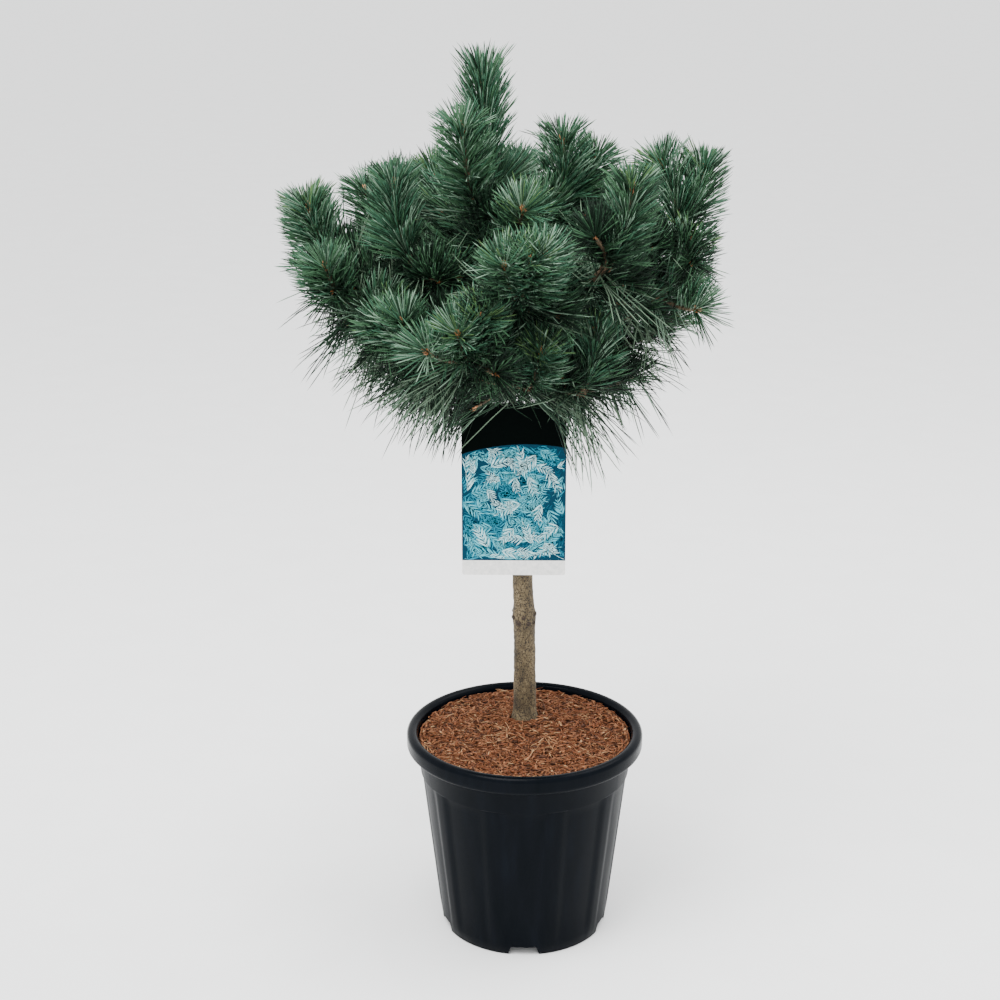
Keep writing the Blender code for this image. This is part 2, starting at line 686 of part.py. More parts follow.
def add_piece(collection, bm):
    mesh = bpy.data.meshes.new("piece")
    bm.to_mesh(mesh)
    bm.free()
    collection.objects.link(bpy.data.objects.new("piece", mesh))


# Plant tag: a card, and the strap that loops round the trunk and carries it
def make_card():
    bm = bmesh.new()
    bmesh.ops.create_cube(bm, size=1.0)
    bmesh.ops.scale(bm, vec=CARD_SIZE, verts=bm.verts)
    corners = [edge for edge in bm.edges if abs(edge.verts[0].co.y - edge.verts[1].co.y) > CARD_SIZE[1] / 2]
    bmesh.ops.bevel(bm, geom=corners, offset=CARD_CORNER, segments=3, affect="EDGES")
    bmesh.ops.translate(bm, vec=CARD_TOP - Vector((0, 0, CARD_SIZE[2] / 2)), verts=bm.verts)
    return make_object("tag_card", bm, make_material("printed_card"), 0)


def make_strap():
    axis = trunk_point(STRAP_HEIGHT)
    inner = trunk_radius(STRAP_HEIGHT - STRAP_WIDTH / 2) + STRAP_GAP + STRAP_LEAN
    outer = inner + STRAP_THICK
    bm = bmesh.new()
    low, high = STRAP_HEIGHT - STRAP_WIDTH / 2, STRAP_HEIGHT + STRAP_WIDTH / 2
    rings = []
    for radius, height in ((inner, low), (outer, low), (outer, high), (inner, high)):
        angles = [2 * math.pi * i / STRAP_SIDES for i in range(STRAP_SIDES)]
        rings.append([bm.verts.new((axis.x + radius * math.sin(a), axis.y - radius * math.cos(a), height))
                      for a in angles])
    for a, b in zip(rings, rings[1:] + rings[:1]):
        for i in range(STRAP_SIDES):
            j = (i + 1) % STRAP_SIDES
            bm.faces.new((a[i], a[j], b[j], b[i]))
    strap = make_object("tag_strap", bm, make_material("strap_plastic"))
    tongue = bpy.data.collections.new("tongue")
    bpy.context.scene.collection.children.link(tongue)
    add_piece(tongue, tongue_mesh(axis, outer))
    apply_boolean(strap, tongue, "UNION")
    return strap


# The strap's flat end: out from the loop, then down in front of the trunk to the card's top edge
def tongue_mesh(axis, outer):
    back = axis.y - outer + STRAP_THICK / 2
    front = CARD_TOP.y - STRAP_THICK / 2
    foot = CARD_TOP.z + SEAT_GAP
    high, low = STRAP_HEIGHT + STRAP_WIDTH * 3 / 8, STRAP_HEIGHT - STRAP_WIDTH / 8
    side = [(back, high), (back, low), (front + STRAP_THICK, low), (front + STRAP_THICK, foot), (front, foot),
            (front, high)]
    bm = bmesh.new()
    half = STRAP_WIDTH / 2
    loft(bm, [[Vector((axis.x + x, y, z)) for y, z in side] for x in (-half, half)])
    bmesh.ops.recalc_face_normals(bm, faces=bm.faces)
    return bm


def main():
    clear_scene()
    make_pot()
    make_mix()
    make_trunk()
    plans = [plan_leader()] + [plan_bough(row, i) for i, row in enumerate(BOUGHS)]
    add_side_shoots(plans)
    make_boughs(plans)
    needles = make_material("needles")
    for i in range(len(plans)):
        make_mass(plans, i, needles)
    make_card()
    make_strap()


main()
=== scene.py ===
import math
import random

import bmesh
import bpy
import numpy as np
from mathutils import Matrix, Vector, noise


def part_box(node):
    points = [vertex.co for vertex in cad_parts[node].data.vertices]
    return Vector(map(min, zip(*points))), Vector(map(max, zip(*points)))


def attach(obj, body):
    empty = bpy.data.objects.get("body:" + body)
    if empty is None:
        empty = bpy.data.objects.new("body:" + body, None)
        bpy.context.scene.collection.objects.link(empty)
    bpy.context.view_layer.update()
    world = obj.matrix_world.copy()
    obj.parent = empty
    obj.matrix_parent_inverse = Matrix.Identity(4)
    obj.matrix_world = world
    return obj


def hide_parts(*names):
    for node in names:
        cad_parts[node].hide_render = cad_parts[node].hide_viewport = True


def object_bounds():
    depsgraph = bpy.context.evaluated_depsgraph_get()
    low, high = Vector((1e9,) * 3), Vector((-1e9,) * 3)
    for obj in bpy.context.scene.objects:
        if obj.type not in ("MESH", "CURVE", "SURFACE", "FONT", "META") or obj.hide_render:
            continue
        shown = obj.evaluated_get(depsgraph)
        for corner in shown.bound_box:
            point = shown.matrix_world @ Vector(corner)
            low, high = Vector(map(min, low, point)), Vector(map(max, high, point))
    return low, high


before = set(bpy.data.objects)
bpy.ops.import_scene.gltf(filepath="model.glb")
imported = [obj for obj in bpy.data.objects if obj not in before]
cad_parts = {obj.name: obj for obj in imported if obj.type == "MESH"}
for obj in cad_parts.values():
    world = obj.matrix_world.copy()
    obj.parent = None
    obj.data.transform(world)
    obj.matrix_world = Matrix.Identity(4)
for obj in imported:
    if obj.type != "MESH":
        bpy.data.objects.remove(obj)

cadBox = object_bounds()
print("frame loaded:", len(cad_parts), "nodes")


# Small helpers that every piece uses

def linearColour(hexCode):
    # sRGB hex to the linear values that Blender's sockets take
    channels = [int(hexCode[i:i + 2], 16) / 255 for i in (1, 3, 5)]
    linear = [c / 12.92 if c <= 0.04045 else ((c + 0.055) / 1.055) ** 2.4 for c in channels]
    return (*linear, 1.0)


def addNode(tree, kind, settings=None, links=None):
    # one node with its settings (attributes by name, sockets by label) and its incoming links
    node = tree.nodes.new(kind)
    for key, value in (settings or {}).items():
        if key in node.inputs:
            node.inputs[key].default_value = value
        else:
            setattr(node, key, value)
    for socket, source in (links or {}).items():
        tree.links.new(source, node.inputs[socket])
    return node


def newMaterial(name, shaderValues):
    material = bpy.data.materials.new(name)
    material.use_nodes = True
    shader = material.node_tree.nodes["Principled BSDF"]
    for key, value in shaderValues.items():
        shader.inputs[key].default_value = value
    return material, material.node_tree, shader


def colourRamp(tree, source, stops):
    ramp = addNode(tree, "ShaderNodeValToRGB", links={"Fac": source})
    elements = ramp.color_ramp.elements
    while len(elements) < len(stops):
        elements.new(0.5)
    for element, (place, hexCode) in zip(elements, stops):
        element.position = place
        element.color = linearColour(hexCode)
    return ramp.outputs["Color"]


def newPiece(name, verts, faces, material, replaced=(), slot=None, smooth=True):
    mesh = bpy.data.meshes.new(name)
    mesh.from_pydata(np.asarray(verts).tolist(), [], np.asarray(faces).tolist() if len(faces) else [])
    mesh.update()
    if smooth:
        mesh.shade_smooth()
    mesh.materials.append(material)
    piece = bpy.data.objects.new(name, mesh)
    bpy.context.scene.collection.objects.link(piece)
    settle(piece, replaced)
    return piece


def settle(piece, replaced=()):
    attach(piece, "root")
    if replaced:
        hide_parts(*replaced)


def unit(vector):
    return vector / np.linalg.norm(vector, axis=-1, keepdims=True)


def heading(azimuth, lift):
    a, b = math.radians(azimuth), math.radians(lift)
    return Vector((math.cos(a) * math.cos(b), math.sin(a) * math.cos(b), math.sin(b)))


def bezier(start, middle, end, steps):
    shares = [i / steps for i in range(steps + 1)]
    return [start * (1 - t) ** 2 + middle * 2 * t * (1 - t) + end * t * t for t in shares]


def pathLength(path):
    return sum((b - a).length for a, b in zip(path, path[1:]))


def resampled(path, count):
    places = [i * (len(path) - 1) / count for i in range(count)]
    return [path[int(place)].lerp(path[int(place) + 1], place - int(place)) for place in places] + [path[-1]]


def samples(path, step=0.003):
    rows = []
    for a, b in zip(path, path[1:]):
        count = max(1, round((b - a).length / step))
        rows += [a.lerp(b, i / count) for i in range(count)]
    return np.array([tuple(row) for row in rows + [path[-1]]])


def nearest(points, targets):
    return np.linalg.norm(points[:, None, :] - targets[None, :, :], axis=2).min()


def pointAlong(path, share):
    place = min(max(share, 0.0), 0.9999) * (len(path) - 1)
    i = int(place)
    return path[i].lerp(path[i + 1], place - i), (path[i + 1] - path[i]).normalized()


def tubeArrays(path, radii, sides, relief=0.0, grain=300.0, seed=0.0):
    # rings along a path, with a little relief, closed at both ends
    verts, faces = [], []
    guide = Vector((0, 0, 1)) if abs((path[-1] - path[0]).normalized().z) < 0.8 else Vector((1, 0, 0))
    for i, (point, radius) in enumerate(zip(path, radii)):
        direction = (path[min(i + 1, len(path) - 1)] - path[max(i - 1, 0)]).normalized()
        side = (guide - direction * guide.dot(direction)).normalized()
        up = direction.cross(side)
        for k in range(sides):
            a = 2 * math.pi * k / sides
            out = side * math.cos(a) + up * math.sin(a)
            spot = point + out * radius
            if relief:
                spot += out * relief * noise.noise(spot * grain + Vector((seed, 0, 0)))
            verts.append(tuple(spot))
    count = len(path)
    for i in range(count - 1):
        for k in range(sides):
            j = (k + 1) % sides
            faces.append((i * sides + k, i * sides + j, (i + 1) * sides + j, (i + 1) * sides + k))
    ends = [tuple(path[0]), tuple(path[-1])]
    verts += ends
    for k in range(sides):
        j = (k + 1) % sides
        faces.append((j, k, len(verts) - 2))
        faces.append(((count - 1) * sides + k, (count - 1) * sides + j, len(verts) - 1))
    return verts, faces


def joined(parts):
    # several (verts, faces) lists as one
    verts, faces = [], []
    for partVerts, partFaces in parts:
        base = len(verts)
        verts += partVerts
        faces += [tuple(i + base for i in face) for face in partFaces]
    return verts, faces


# Camera, matched to the ellipses of the pot's rim and foot in the photograph

cameraPlace = {"distance": 2.10, "height": 1.222, "pitch": 18.12, "lens": 69.3, "turn": 0.80}


def makeCamera():
    data = bpy.data.cameras.new("camera")
    data.lens = cameraPlace["lens"]
    data.sensor_width = 36.0
    camera = bpy.data.objects.new("camera", data)
    bpy.context.scene.collection.objects.link(camera)
    camera.location = (0, -cameraPlace["distance"], cameraPlace["height"])
    camera.rotation_euler = (math.radians(90 - cameraPlace["pitch"]), 0, math.radians(cameraPlace["turn"]))
    bpy.context.scene.camera = camera


# Studio: a white floor under a big soft sky, two wide lamps and a small one overhead

studio = {"floor": "#f4f5f5", "floorRadius": 40.0, "sky": 2.0,
          "lamps": [((-0.9, -1.3, 3.2), 2.0, 130), ((1.6, 0.6, 2.8), 2.0, 50), ((0.0, -0.3, 2.8), 0.6, 30)]}


def makeStudio():
    material, tree, shader = newMaterial("floorPaper", {"Roughness": 0.8})
    grain = addNode(tree, "ShaderNodeTexNoise", {"Scale": 900.0, "Detail": 3.0})
    tree.links.new(colourRamp(tree, grain.outputs["Fac"], [(0.3, "#f1f2f2"), (0.7, studio["floor"])]),
                   shader.inputs["Base Color"])
    bm = bmesh.new()
    bmesh.ops.create_circle(bm, cap_ends=True, segments=96, radius=studio["floorRadius"])
    mesh = bpy.data.meshes.new("floor")
    bm.to_mesh(mesh)
    bm.free()
    mesh.materials.append(material)
    floor = bpy.data.objects.new("floor", mesh)
    floor.location.z = -0.0005
    bpy.context.scene.collection.objects.link(floor)
    world = bpy.data.worlds.new("sky")
    bpy.context.scene.world = world
    world.use_nodes = True
    world.node_tree.nodes["Background"].inputs["Color"].default_value = linearColour("#ffffff")
    world.node_tree.nodes["Background"].inputs["Strength"].default_value = studio["sky"]
    for number, (place, size, power) in enumerate(studio["lamps"]):
        light = bpy.data.lights.new("lamp%d" % number, "AREA")
        light.shape = "DISK"
        light.size = size
        light.energy = power
        lamp = bpy.data.objects.new("lamp%d" % number, light)
        lamp.location = place
        aim = Vector((0, 0, 0.6)) - Vector(place)
        lamp.rotation_euler = aim.to_track_quat("-Z", "Y").to_euler()
        bpy.context.scene.collection.objects.link(lamp)


# Trunk: the CAD's own line, with a mesh that carries the bark's relief

trunk = {"foot": Vector((0.000, 0.045, 0.0)), "top": Vector((-0.044, 0.011, 0.862)),
         "bends": [Vector((-0.002, 0.041, 0.40)), Vector((-0.013, 0.030, 0.56)), Vector((-0.032, 0.018, 0.73))],
         "footRadius": 0.0138, "topRadius": 0.0058, "flare": 0.0030, "flareHeight": 0.022,
         "scarHeight": 0.376, "scarSwell": 0.0016, "scarLength": 0.011, "sides": 56, "step": 0.0016}
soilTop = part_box("trunk")[0][2]


def smoothValue(at, places, values):
    last = len(places) - 1
    slopes = [(values[min(i + 1, last)] - values[max(i - 1, 0)])
              / (places[min(i + 1, last)] - places[max(i - 1, 0)]) for i in range(last + 1)]
    slopes[0] = 0.0
    i = max(k for k in range(last) if places[k] <= max(at, places[0]))
    span = places[i + 1] - places[i]
    t = (at - places[i]) / span
    bend = slopes[i] * span * t * (1 - t) ** 2 - slopes[i + 1] * span * t * t * (1 - t)
    return values[i] + (values[i + 1] - values[i]) * t * t * (3 - 2 * t) + bend


def trunkPoint(height):
    marks = [Vector((trunk["foot"].x, trunk["foot"].y, soilTop)), *trunk["bends"], trunk["top"]]
    heights = [mark.z for mark in marks]
    return Vector((smoothValue(height, heights, [mark.x for mark in marks]),
                   smoothValue(height, heights, [mark.y for mark in marks]), height))


def trunkRadius(height):
    share = (height - soilTop) / (trunk["top"].z - soilTop)
    plain = trunk["footRadius"] + (trunk["topRadius"] - trunk["footRadius"]) * max(share, 0) ** 1.25
    flare = trunk["flare"] * max(0.0, 1 - (height - soilTop) / trunk["flareHeight"]) ** 2
    return plain + flare + trunk["scarSwell"] * math.exp(-((height - trunk["scarHeight"]) / trunk["scarLength"]) ** 2)


def barkMaterial():
    # young pine bark: thin grey-olive skin over orange, in small plates with dark lenticels; dull, dry
    material, tree, shader = newMaterial("youngPineBark", {"Roughness": 0.82})
    place = addNode(tree, "ShaderNodeTexCoord")
    stretched = addNode(tree, "ShaderNodeMapping", {"Scale": (1.0, 1.0, 0.42)}, {"Vector": place.outputs["Object"]})
    plates = addNode(tree, "ShaderNodeTexVoronoi", {"feature": "DISTANCE_TO_EDGE", "Scale": 210.0},
                     {"Vector": stretched.outputs["Vector"]})  # plates about 5 mm across
    blotches = addNode(tree, "ShaderNodeTexNoise", {"Scale": 70.0, "Detail": 5.0, "Roughness": 0.65},
                       {"Vector": stretched.outputs["Vector"]})
    specks = addNode(tree, "ShaderNodeTexNoise", {"Scale": 600.0, "Detail": 4.0}, {"Vector": place.outputs["Object"]})
    base = colourRamp(tree, blotches.outputs["Fac"], [(0.28, "#2e2619"), (0.45, "#52462f"), (0.6, "#685a40"),
                                                      (0.78, "#837355")])
    cracks = colourRamp(tree, plates.outputs["Distance"], [(0.0, "#9a8c78"), (0.10, "#ffffff")])
    dots = colourRamp(tree, specks.outputs["Fac"], [(0.40, "#231b12"), (0.50, "#ffffff")])
    first = addNode(tree, "ShaderNodeMix", {"data_type": "RGBA", "blend_type": "MULTIPLY", "Factor": 0.75})
    tree.links.new(base, first.inputs["A"])
    tree.links.new(cracks, first.inputs["B"])
    second = addNode(tree, "ShaderNodeMix", {"data_type": "RGBA", "blend_type": "MULTIPLY", "Factor": 0.88})
    tree.links.new(first.outputs["Result"], second.inputs["A"])
    tree.links.new(dots, second.inputs["B"])
    tree.links.new(second.outputs["Result"], shader.inputs["Base Color"])
    bump = addNode(tree, "ShaderNodeBump", {"Strength": 0.5, "Distance": 0.0006},
                   {"Height": specks.outputs["Fac"]})
    tree.links.new(bump.outputs["Normal"], shader.inputs["Normal"])
    return material


def makeTrunk():
    heights = np.arange(soilTop - 0.004, trunk["top"].z + 0.002, trunk["step"])
    verts, faces = [], []
    sides = trunk["sides"]
    for z in heights:
        held = min(max(z, soilTop), trunk["top"].z)
        centre = trunkPoint(held)
        centre.z = z
        radius = trunkRadius(held)
        for k in range(sides):
            a = 2 * math.pi * k / sides
            out = Vector((math.cos(a), math.sin(a), 0))
            spot = centre + out * radius
            flat = Vector((spot.x, spot.y, spot.z * 0.45))
            plates = min(1.0, noise.voronoi(flat * 190)[0][1] - noise.voronoi(flat * 190)[0][0])
            lump = noise.noise(flat * 90) * 0.0005 + noise.noise(spot * 420) * 0.00022
            verts.append(tuple(spot + out * (lump + 0.00045 * min(plates * 3, 1) - 0.0004)))
    rows = len(heights)
    for i in range(rows - 1):
        for k in range(sides):
            j = (k + 1) % sides
            faces.append((i * sides + k, i * sides + j, (i + 1) * sides + j, (i + 1) * sides + k))
    faces.append(tuple(range((rows - 1) * sides, rows * sides)))
    mesh = bpy.data.meshes.new("trunkBark")
    mesh.from_pydata(verts, [], faces)
    mesh.shade_smooth()
    mesh.materials.append(barkMaterial())
    piece = bpy.data.objects.new("trunkBark", mesh)
    bpy.context.scene.collection.objects.link(piece)
    settle(piece, ["trunk"])
    makeScars()
    print("trunk made")


# Branch scars: dark healed stubs in a loose ring round the trunk's swelling

scars = {"rows": ((-158, 0.000, 0.0036), (-122, -0.005, 0.0042), (-92, 0.002, 0.0028), (-66, -0.006, 0.0034), (-14, 0.004, 0.0036),
                  (-30, -0.006, 0.0028), (52, 0.000, 0.0034), (115, -0.003, 0.0030), (160, 0.005, 0.0026)),
         "flat": 0.62, "sink": 0.35}


def scarMaterial():
    # pruned twig grown over: corky lips round a dark dry heart; dull
    material, tree, shader = newMaterial("corkyScar", {"Roughness": 0.85})
    place = addNode(tree, "ShaderNodeTexCoord")
    cork = addNode(tree, "ShaderNodeTexNoise", {"Scale": 600.0, "Detail": 3.0}, {"Vector": place.outputs["Object"]})
    colour = colourRamp(tree, cork.outputs["Fac"], [(0.35, "#120c07"), (0.52, "#2c2117"), (0.68, "#4a3a29")])
    tree.links.new(colour, shader.inputs["Base Color"])
    bump = addNode(tree, "ShaderNodeBump", {"Strength": 0.7, "Distance": 0.0006}, {"Height": cork.outputs["Fac"]})
    tree.links.new(bump.outputs["Normal"], shader.inputs["Normal"])
    return material


def makeScars():
    bm = bmesh.new()
    for azimuth, above, size in scars["rows"]:
        height = trunk["scarHeight"] + above
        out = heading(azimuth, 0)
        centre = trunkPoint(height) + out * (trunkRadius(height) - size * scars["flat"] * scars["sink"])
        place = (Matrix.Translation(centre) @ out.to_track_quat("X", "Z").to_matrix().to_4x4()
                 @ Matrix.Diagonal((size * scars["flat"], size, size * 0.9, 1.0)))
        bmesh.ops.create_icosphere(bm, subdivisions=3, radius=1.0, matrix=place)
    for vert in bm.verts:
        vert.co += vert.normal * noise.noise(vert.co * 700) * 0.0004
    mesh = bpy.data.meshes.new("branchScars")
    bm.to_mesh(mesh)
    bm.free()
    mesh.shade_smooth()
    mesh.materials.append(scarMaterial())
    piece = bpy.data.objects.new("branchScars", mesh)
    bpy.context.scene.collection.objects.link(piece)
    settle(piece, ["trunk"])


# Boughs, old wood and shoots: the same plan as the solids follow

crown = {
    "axis": Vector((-0.033, 0.010, 0.0)), "oldWood": 0.046, "leaderAzimuth": 150,
    "leaderStem": Vector((-0.001, 0.0, 0.030)), "leaderShoot": Vector((-0.003, -0.004, 0.113)),
    # round the trunk and right of its top, between the masses
    "cores": [(Vector((-0.10, 0.012, 0.612)), Vector((0.05, 0.16, 0.80))),
              (Vector((0.02, -0.06, 0.80)), Vector((0.12, 0.09, 0.895)))],
    # name, height on the trunk, azimuth, reach, fork height, shoots, their length, lift, fan, lift step
    "boughs": [
        ("top_left", 0.820, -114, 0.044, 0.871, 1, 0.102, 66, 0, 0),
        ("top_front", 0.800, -76, 0.056, 0.834, 1, 0.074, 42, 0, 0),
        ("top_right", 0.838, 6, 0.064, 0.868, 2, 0.070, 66, 30, -36),
        ("top_back_right", 0.808, 74, 0.044, 0.846, 1, 0.066, 54, 0, 0),
        ("top_back_left", 0.824, 136, 0.052, 0.846, 1, 0.066, 44, 0, 0),
        ("left_high", 0.728, -154, 0.098, 0.812, 1, 0.094, 77, 0, 0),
        ("front", 0.743, -80, 0.140, 0.798, 3, 0.074, 40, 22, 4),
        ("right_front", 0.758, -42, 0.158, 0.824, 1, 0.090, 71, 0, 0),
        ("right_far", 0.728, 2, 0.198, 0.840, 2, 0.074, 84, 30, -34),
        ("back_right", 0.743, 46, 0.168, 0.806, 2, 0.072, 48, 32, 8),
        ("back", 0.758, 88, 0.160, 0.812, 2, 0.080, 54, 30, -8),
        ("back_left", 0.728, 126, 0.150, 0.806, 2, 0.082, 52, 34, 8),
        ("left_back_high", 0.758, 161, 0.108, 0.810, 1, 0.086, 53, 0, 0),
        ("left_far", 0.743, 179, 0.176, 0.808, 2, 0.070, 60, -44, -6),
        ("left_front_low", 0.672, -132, 0.112, 0.722, 2, 0.066, 40, 36, 6),
        ("front_left_low", 0.702, -102, 0.130, 0.731, 3, 0.068, 32, 26, 15),
        ("front_low", 0.687, -70, 0.098, 0.690, 1, 0.066, 44, 0, 0),
        ("right_front_low", 0.672, -38, 0.120, 0.680, 1, 0.080, 80, 0, 0),
        ("right_low", 0.702, -12, 0.182, 0.782, 2, 0.060, 24, 80, 62),
        ("right_under", 0.687, 8, 0.140, 0.712, 1, 0.064, 24, 0, 0),
        ("back_right_low", 0.672, 48, 0.146, 0.722, 2, 0.074, 30, 40, 10),
        ("back_low", 0.687, 92, 0.140, 0.716, 2, 0.074, 30, 40, -8),
        ("back_left_low", 0.672, 140, 0.144, 0.728, 2, 0.074, 34, 40, 8),
        ("left_low", 0.702, 194, 0.164, 0.770, 2, 0.058, 48, -70, -8),
    ],
}


def planBough(row, index):
    name, leave, azimuth, reach, height, shoots, length, lift, fan, liftStep = row
    rng = random.Random(4100 + index)
    fork = crown["axis"] + heading(azimuth, 0) * reach
    fork.z = height
    axis = trunkPoint(leave)
    outward = Vector((fork.x - axis.x, fork.y - axis.y, 0.0))
    start = axis + outward.normalized() * (trunkRadius(leave) - 0.002)
    middle = start + outward * 0.55 + Vector((0, 0, (height - leave) * 0.12))
    path = bezier(start, middle, fork, 24)
    cut = max(7, min(17, round(24 * (1 - crown["oldWood"] / pathLength(path)))))
    heads = []
    for i in range(shoots):
        place = i - (shoots - 1) / 2
        turn = azimuth + fan * place + rng.uniform(-3, 3)
        rise = lift + liftStep * place + rng.uniform(-2, 2)
        out = length * rng.uniform(0.95, 1.05)
        tip = fork + heading(turn, rise) * out
        heads.append(bezier(fork, fork + heading(turn, rise - 22) * out * 0.45, tip, 6))
    return {"name": name, "azimuth": azimuth, "bough": path[:cut + 1], "oldWood": path[cut:], "shoots": heads}


def planLeader():
    foot = trunk["top"].copy()
    fork = foot + crown["leaderStem"]
    tip = fork + crown["leaderShoot"]
    return {"name": "leader", "azimuth": crown["leaderAzimuth"], "bough": [],
            "oldWood": bezier(foot, (foot + fork) / 2, fork, 4), "shoots": [bezier(fork, (fork + tip) / 2, tip, 6)]}


sourceSide = {"root": 0.45, "length": 0.058, "turns": (-100, -75, -50, 50, 75, 100), "lifts": (20, 45, 65)}


def addSourceShoots(plans):
    # as in the solids: one side shoot on each mass's old wood, the way that stays furthest from other wood
    for plan in plans:
        woods = [resampled(other["bough"], 6)[2:] for other in plans if other["bough"]]
        woods += [path for other in plans for path in (other["oldWood"], *other["shoots"])]
        taken = np.vstack([samples(path) for path in woods])
        wood = plan["oldWood"]
        i = round(sourceSide["root"] * (len(wood) - 1))
        along = (wood[i + 1] - wood[i - 1]).normalized()
        ways = []
        for turn in sourceSide["turns"]:
            for lift in sourceSide["lifts"]:
                out = heading(plan["azimuth"] + turn, lift) * sourceSide["length"]
                ways.append(bezier(wood[i], wood[i] + along * sourceSide["length"] / 4 + out / 4, wood[i] + out, 6))
        plan["shoots"].append(max(ways, key=lambda way: nearest(samples(way[3:]), taken)))


sideTwigs = {"from": 0.10, "to": 0.98, "spacing": 0.029, "length": (0.044, 0.072), "spread": (34, 84),
             "lift": (-32, 64), "seed": 1197}


def insideMasses(point, margin=0.004):
    return any(all(low[i] - margin < point[i] < high[i] + margin for i in range(3)) for low, high in reachBoxes)


def sideShoots(plan, number):
    # weaker twigs on both sides of the bough's outer part, kept within the reach of the solids
    rng = random.Random(sideTwigs["seed"] + number)
    wood = plan["bough"][:-1] + plan["oldWood"]
    run = pathLength(wood)
    extra = []
    span = sideTwigs["to"] - sideTwigs["from"]
    count = round(run * span / sideTwigs["spacing"])
    for i in range(count):
        share = sideTwigs["from"] + span * (i + rng.random()) / count
        root, along = pointAlong(wood, share)
        side = 1 if i % 2 else -1
        for _ in range(6):
            turn = plan["azimuth"] + side * rng.uniform(*sideTwigs["spread"])
            aim = heading(turn, rng.uniform(*sideTwigs["lift"]))
            length = rng.uniform(*sideTwigs["length"])
            tip = root + aim * length
            if insideMasses(tip + aim * needle["length"] * 0.7):
                extra.append(bezier(root, root + along * length * 0.28 + aim * length * 0.25, tip, 8))
                break
    return extra


# Needles: pairs from one sheath all round the wood, bent three-sided blades that end in a point

needle = {"length": 0.052, "oldLength": 0.082, "width": 0.00116, "oldWidth": 0.00142,
          "pitch": 0.00033, "oldPitch": 0.0009, "lowPitch": 0.00048, "openings": ((0.0, 39), (0.3, 42), (0.85, 42), (1.0, 36)), "sway": 6,
          "spread": (0.96, 1.16), "spreads": {"leader": 0.84, "left_far": 1.24, "left_low": 1.2},
          "stray": 0.07, "straySway": 17, "under": -0.02, "underLost": 0.86, "crest": 34, "crestOpening": 60, "crestLengths": (0.52, 0.86), "leader": 1.14,
          "oldOpenings": (96, 66), "oldSway": 18, "whorl": 10, "whorls": {"front": 30, "front_low": 34, "left_high": 16, "right_front": 6}, "seed": 515,
          "marks": ((0.0, 0.8), (0.86, 0.95)), "oldMarks": ((0.0, 0.75), (0.5, 1.0), (0.9, 0.8)),
          "drop": 0.040, "sight": 0.27, "overCard": 0.02, "overCardRight": 0.24}
pieceLimit = 190000  # triangles in one joined piece
# the first green, near-black, is painted shade: it darkens the needles deep inside the crown
greens = {
    "needlePaintedShade": "#0f1d14", "needleDeep": "#1f3626", "needleMid": "#3f6045", "needleBlue": "#3b614b", "needleSilver": "#718b77",
    "needleFresh": "#506d42", "needleOld": "#5b6e5b",
}
mixtures = [  # what share of a shoot's needles takes each green
    {"needleDeep": 0.40, "needleMid": 0.32, "needleBlue": 0.14, "needleSilver": 0.14},
    {"needleDeep": 0.28, "needleMid": 0.26, "needleBlue": 0.30, "needleSilver": 0.16},
    {"needleDeep": 0.28, "needleMid": 0.42, "needleBlue": 0.14, "needleSilver": 0.16},
]
# inner side twigs: half their needles take the near-black painted-shade green and the rest deep greens, so the crown's
# inside is painted darker
innerShadeMixture = {"needlePaintedShade": 0.50, "needleDeep": 0.36, "needleMid": 0.14}
# old needles on the inner wood: a third take the near-black painted-shade green, for the shade inside the crown; the
# rest are their own greens
oldMixture = {"needlePaintedShade": 0.34, "needleDeep": 0.30, "needleOld": 0.26, "needleSilver": 0.10}
whorlMixture = {"needleDeep": 0.30, "needleOld": 0.48, "needleSilver": 0.22}


def needleMaterial(name):
    # living pine needle: waxy cuticle over deep green, so a soft satin gleam along each blade
    material, tree, shader = newMaterial(name, {"Base Color": linearColour(greens[name]), "Roughness": 0.5,
                                                "IOR": 1.45, "Specular IOR Level": 0.14})
    return material


def openingAt(t):
    marks = needle["openings"]
    i = max(k for k in range(len(marks) - 1) if marks[k][0] <= t)
    (t0, a0), (t1, a1) = marks[i], marks[i + 1]
    return a0 + (a1 - a0) * (t - t0) / (t1 - t0)


def pick(mixture, rng):
    roll = rng.random() * sum(mixture.values())
    for tone, share in mixture.items():
        roll -= share
        if roll <= 0:
            return tone
    return tone


def around(along, angle):
    guide = Vector((0, 0, 1)) if abs(along.z) < 0.85 else Vector((1, 0, 0))
    side = (guide - along * guide.dot(along)).normalized()
    return side * math.cos(angle) + along.cross(side) * math.sin(angle)


def addPair(rows, point, along, out, lean, length, curl, sag, rng, bow=0.04):
    across = along.cross(out)
    arc = across * bow * rng.choice((-1, 1)) * rng.uniform(0.3, 1.0)
    for twin in (-1, 1):  # two blades, a few degrees apart
        swing = across * twin * math.radians(rng.uniform(2, 7))
        aim = (along * math.cos(lean) + out * math.sin(lean) + swing).normalized()
        bend = along * curl + arc + Vector((0, 0, -sag)) + swing * rng.uniform(-0.6, 1.6)
        bend += out * rng.uniform(-0.06, 0.04)
        rows.append((*point, *aim, *bend, length * rng.uniform(0.92, 1.06), rng.uniform(0.85, 1.15)))


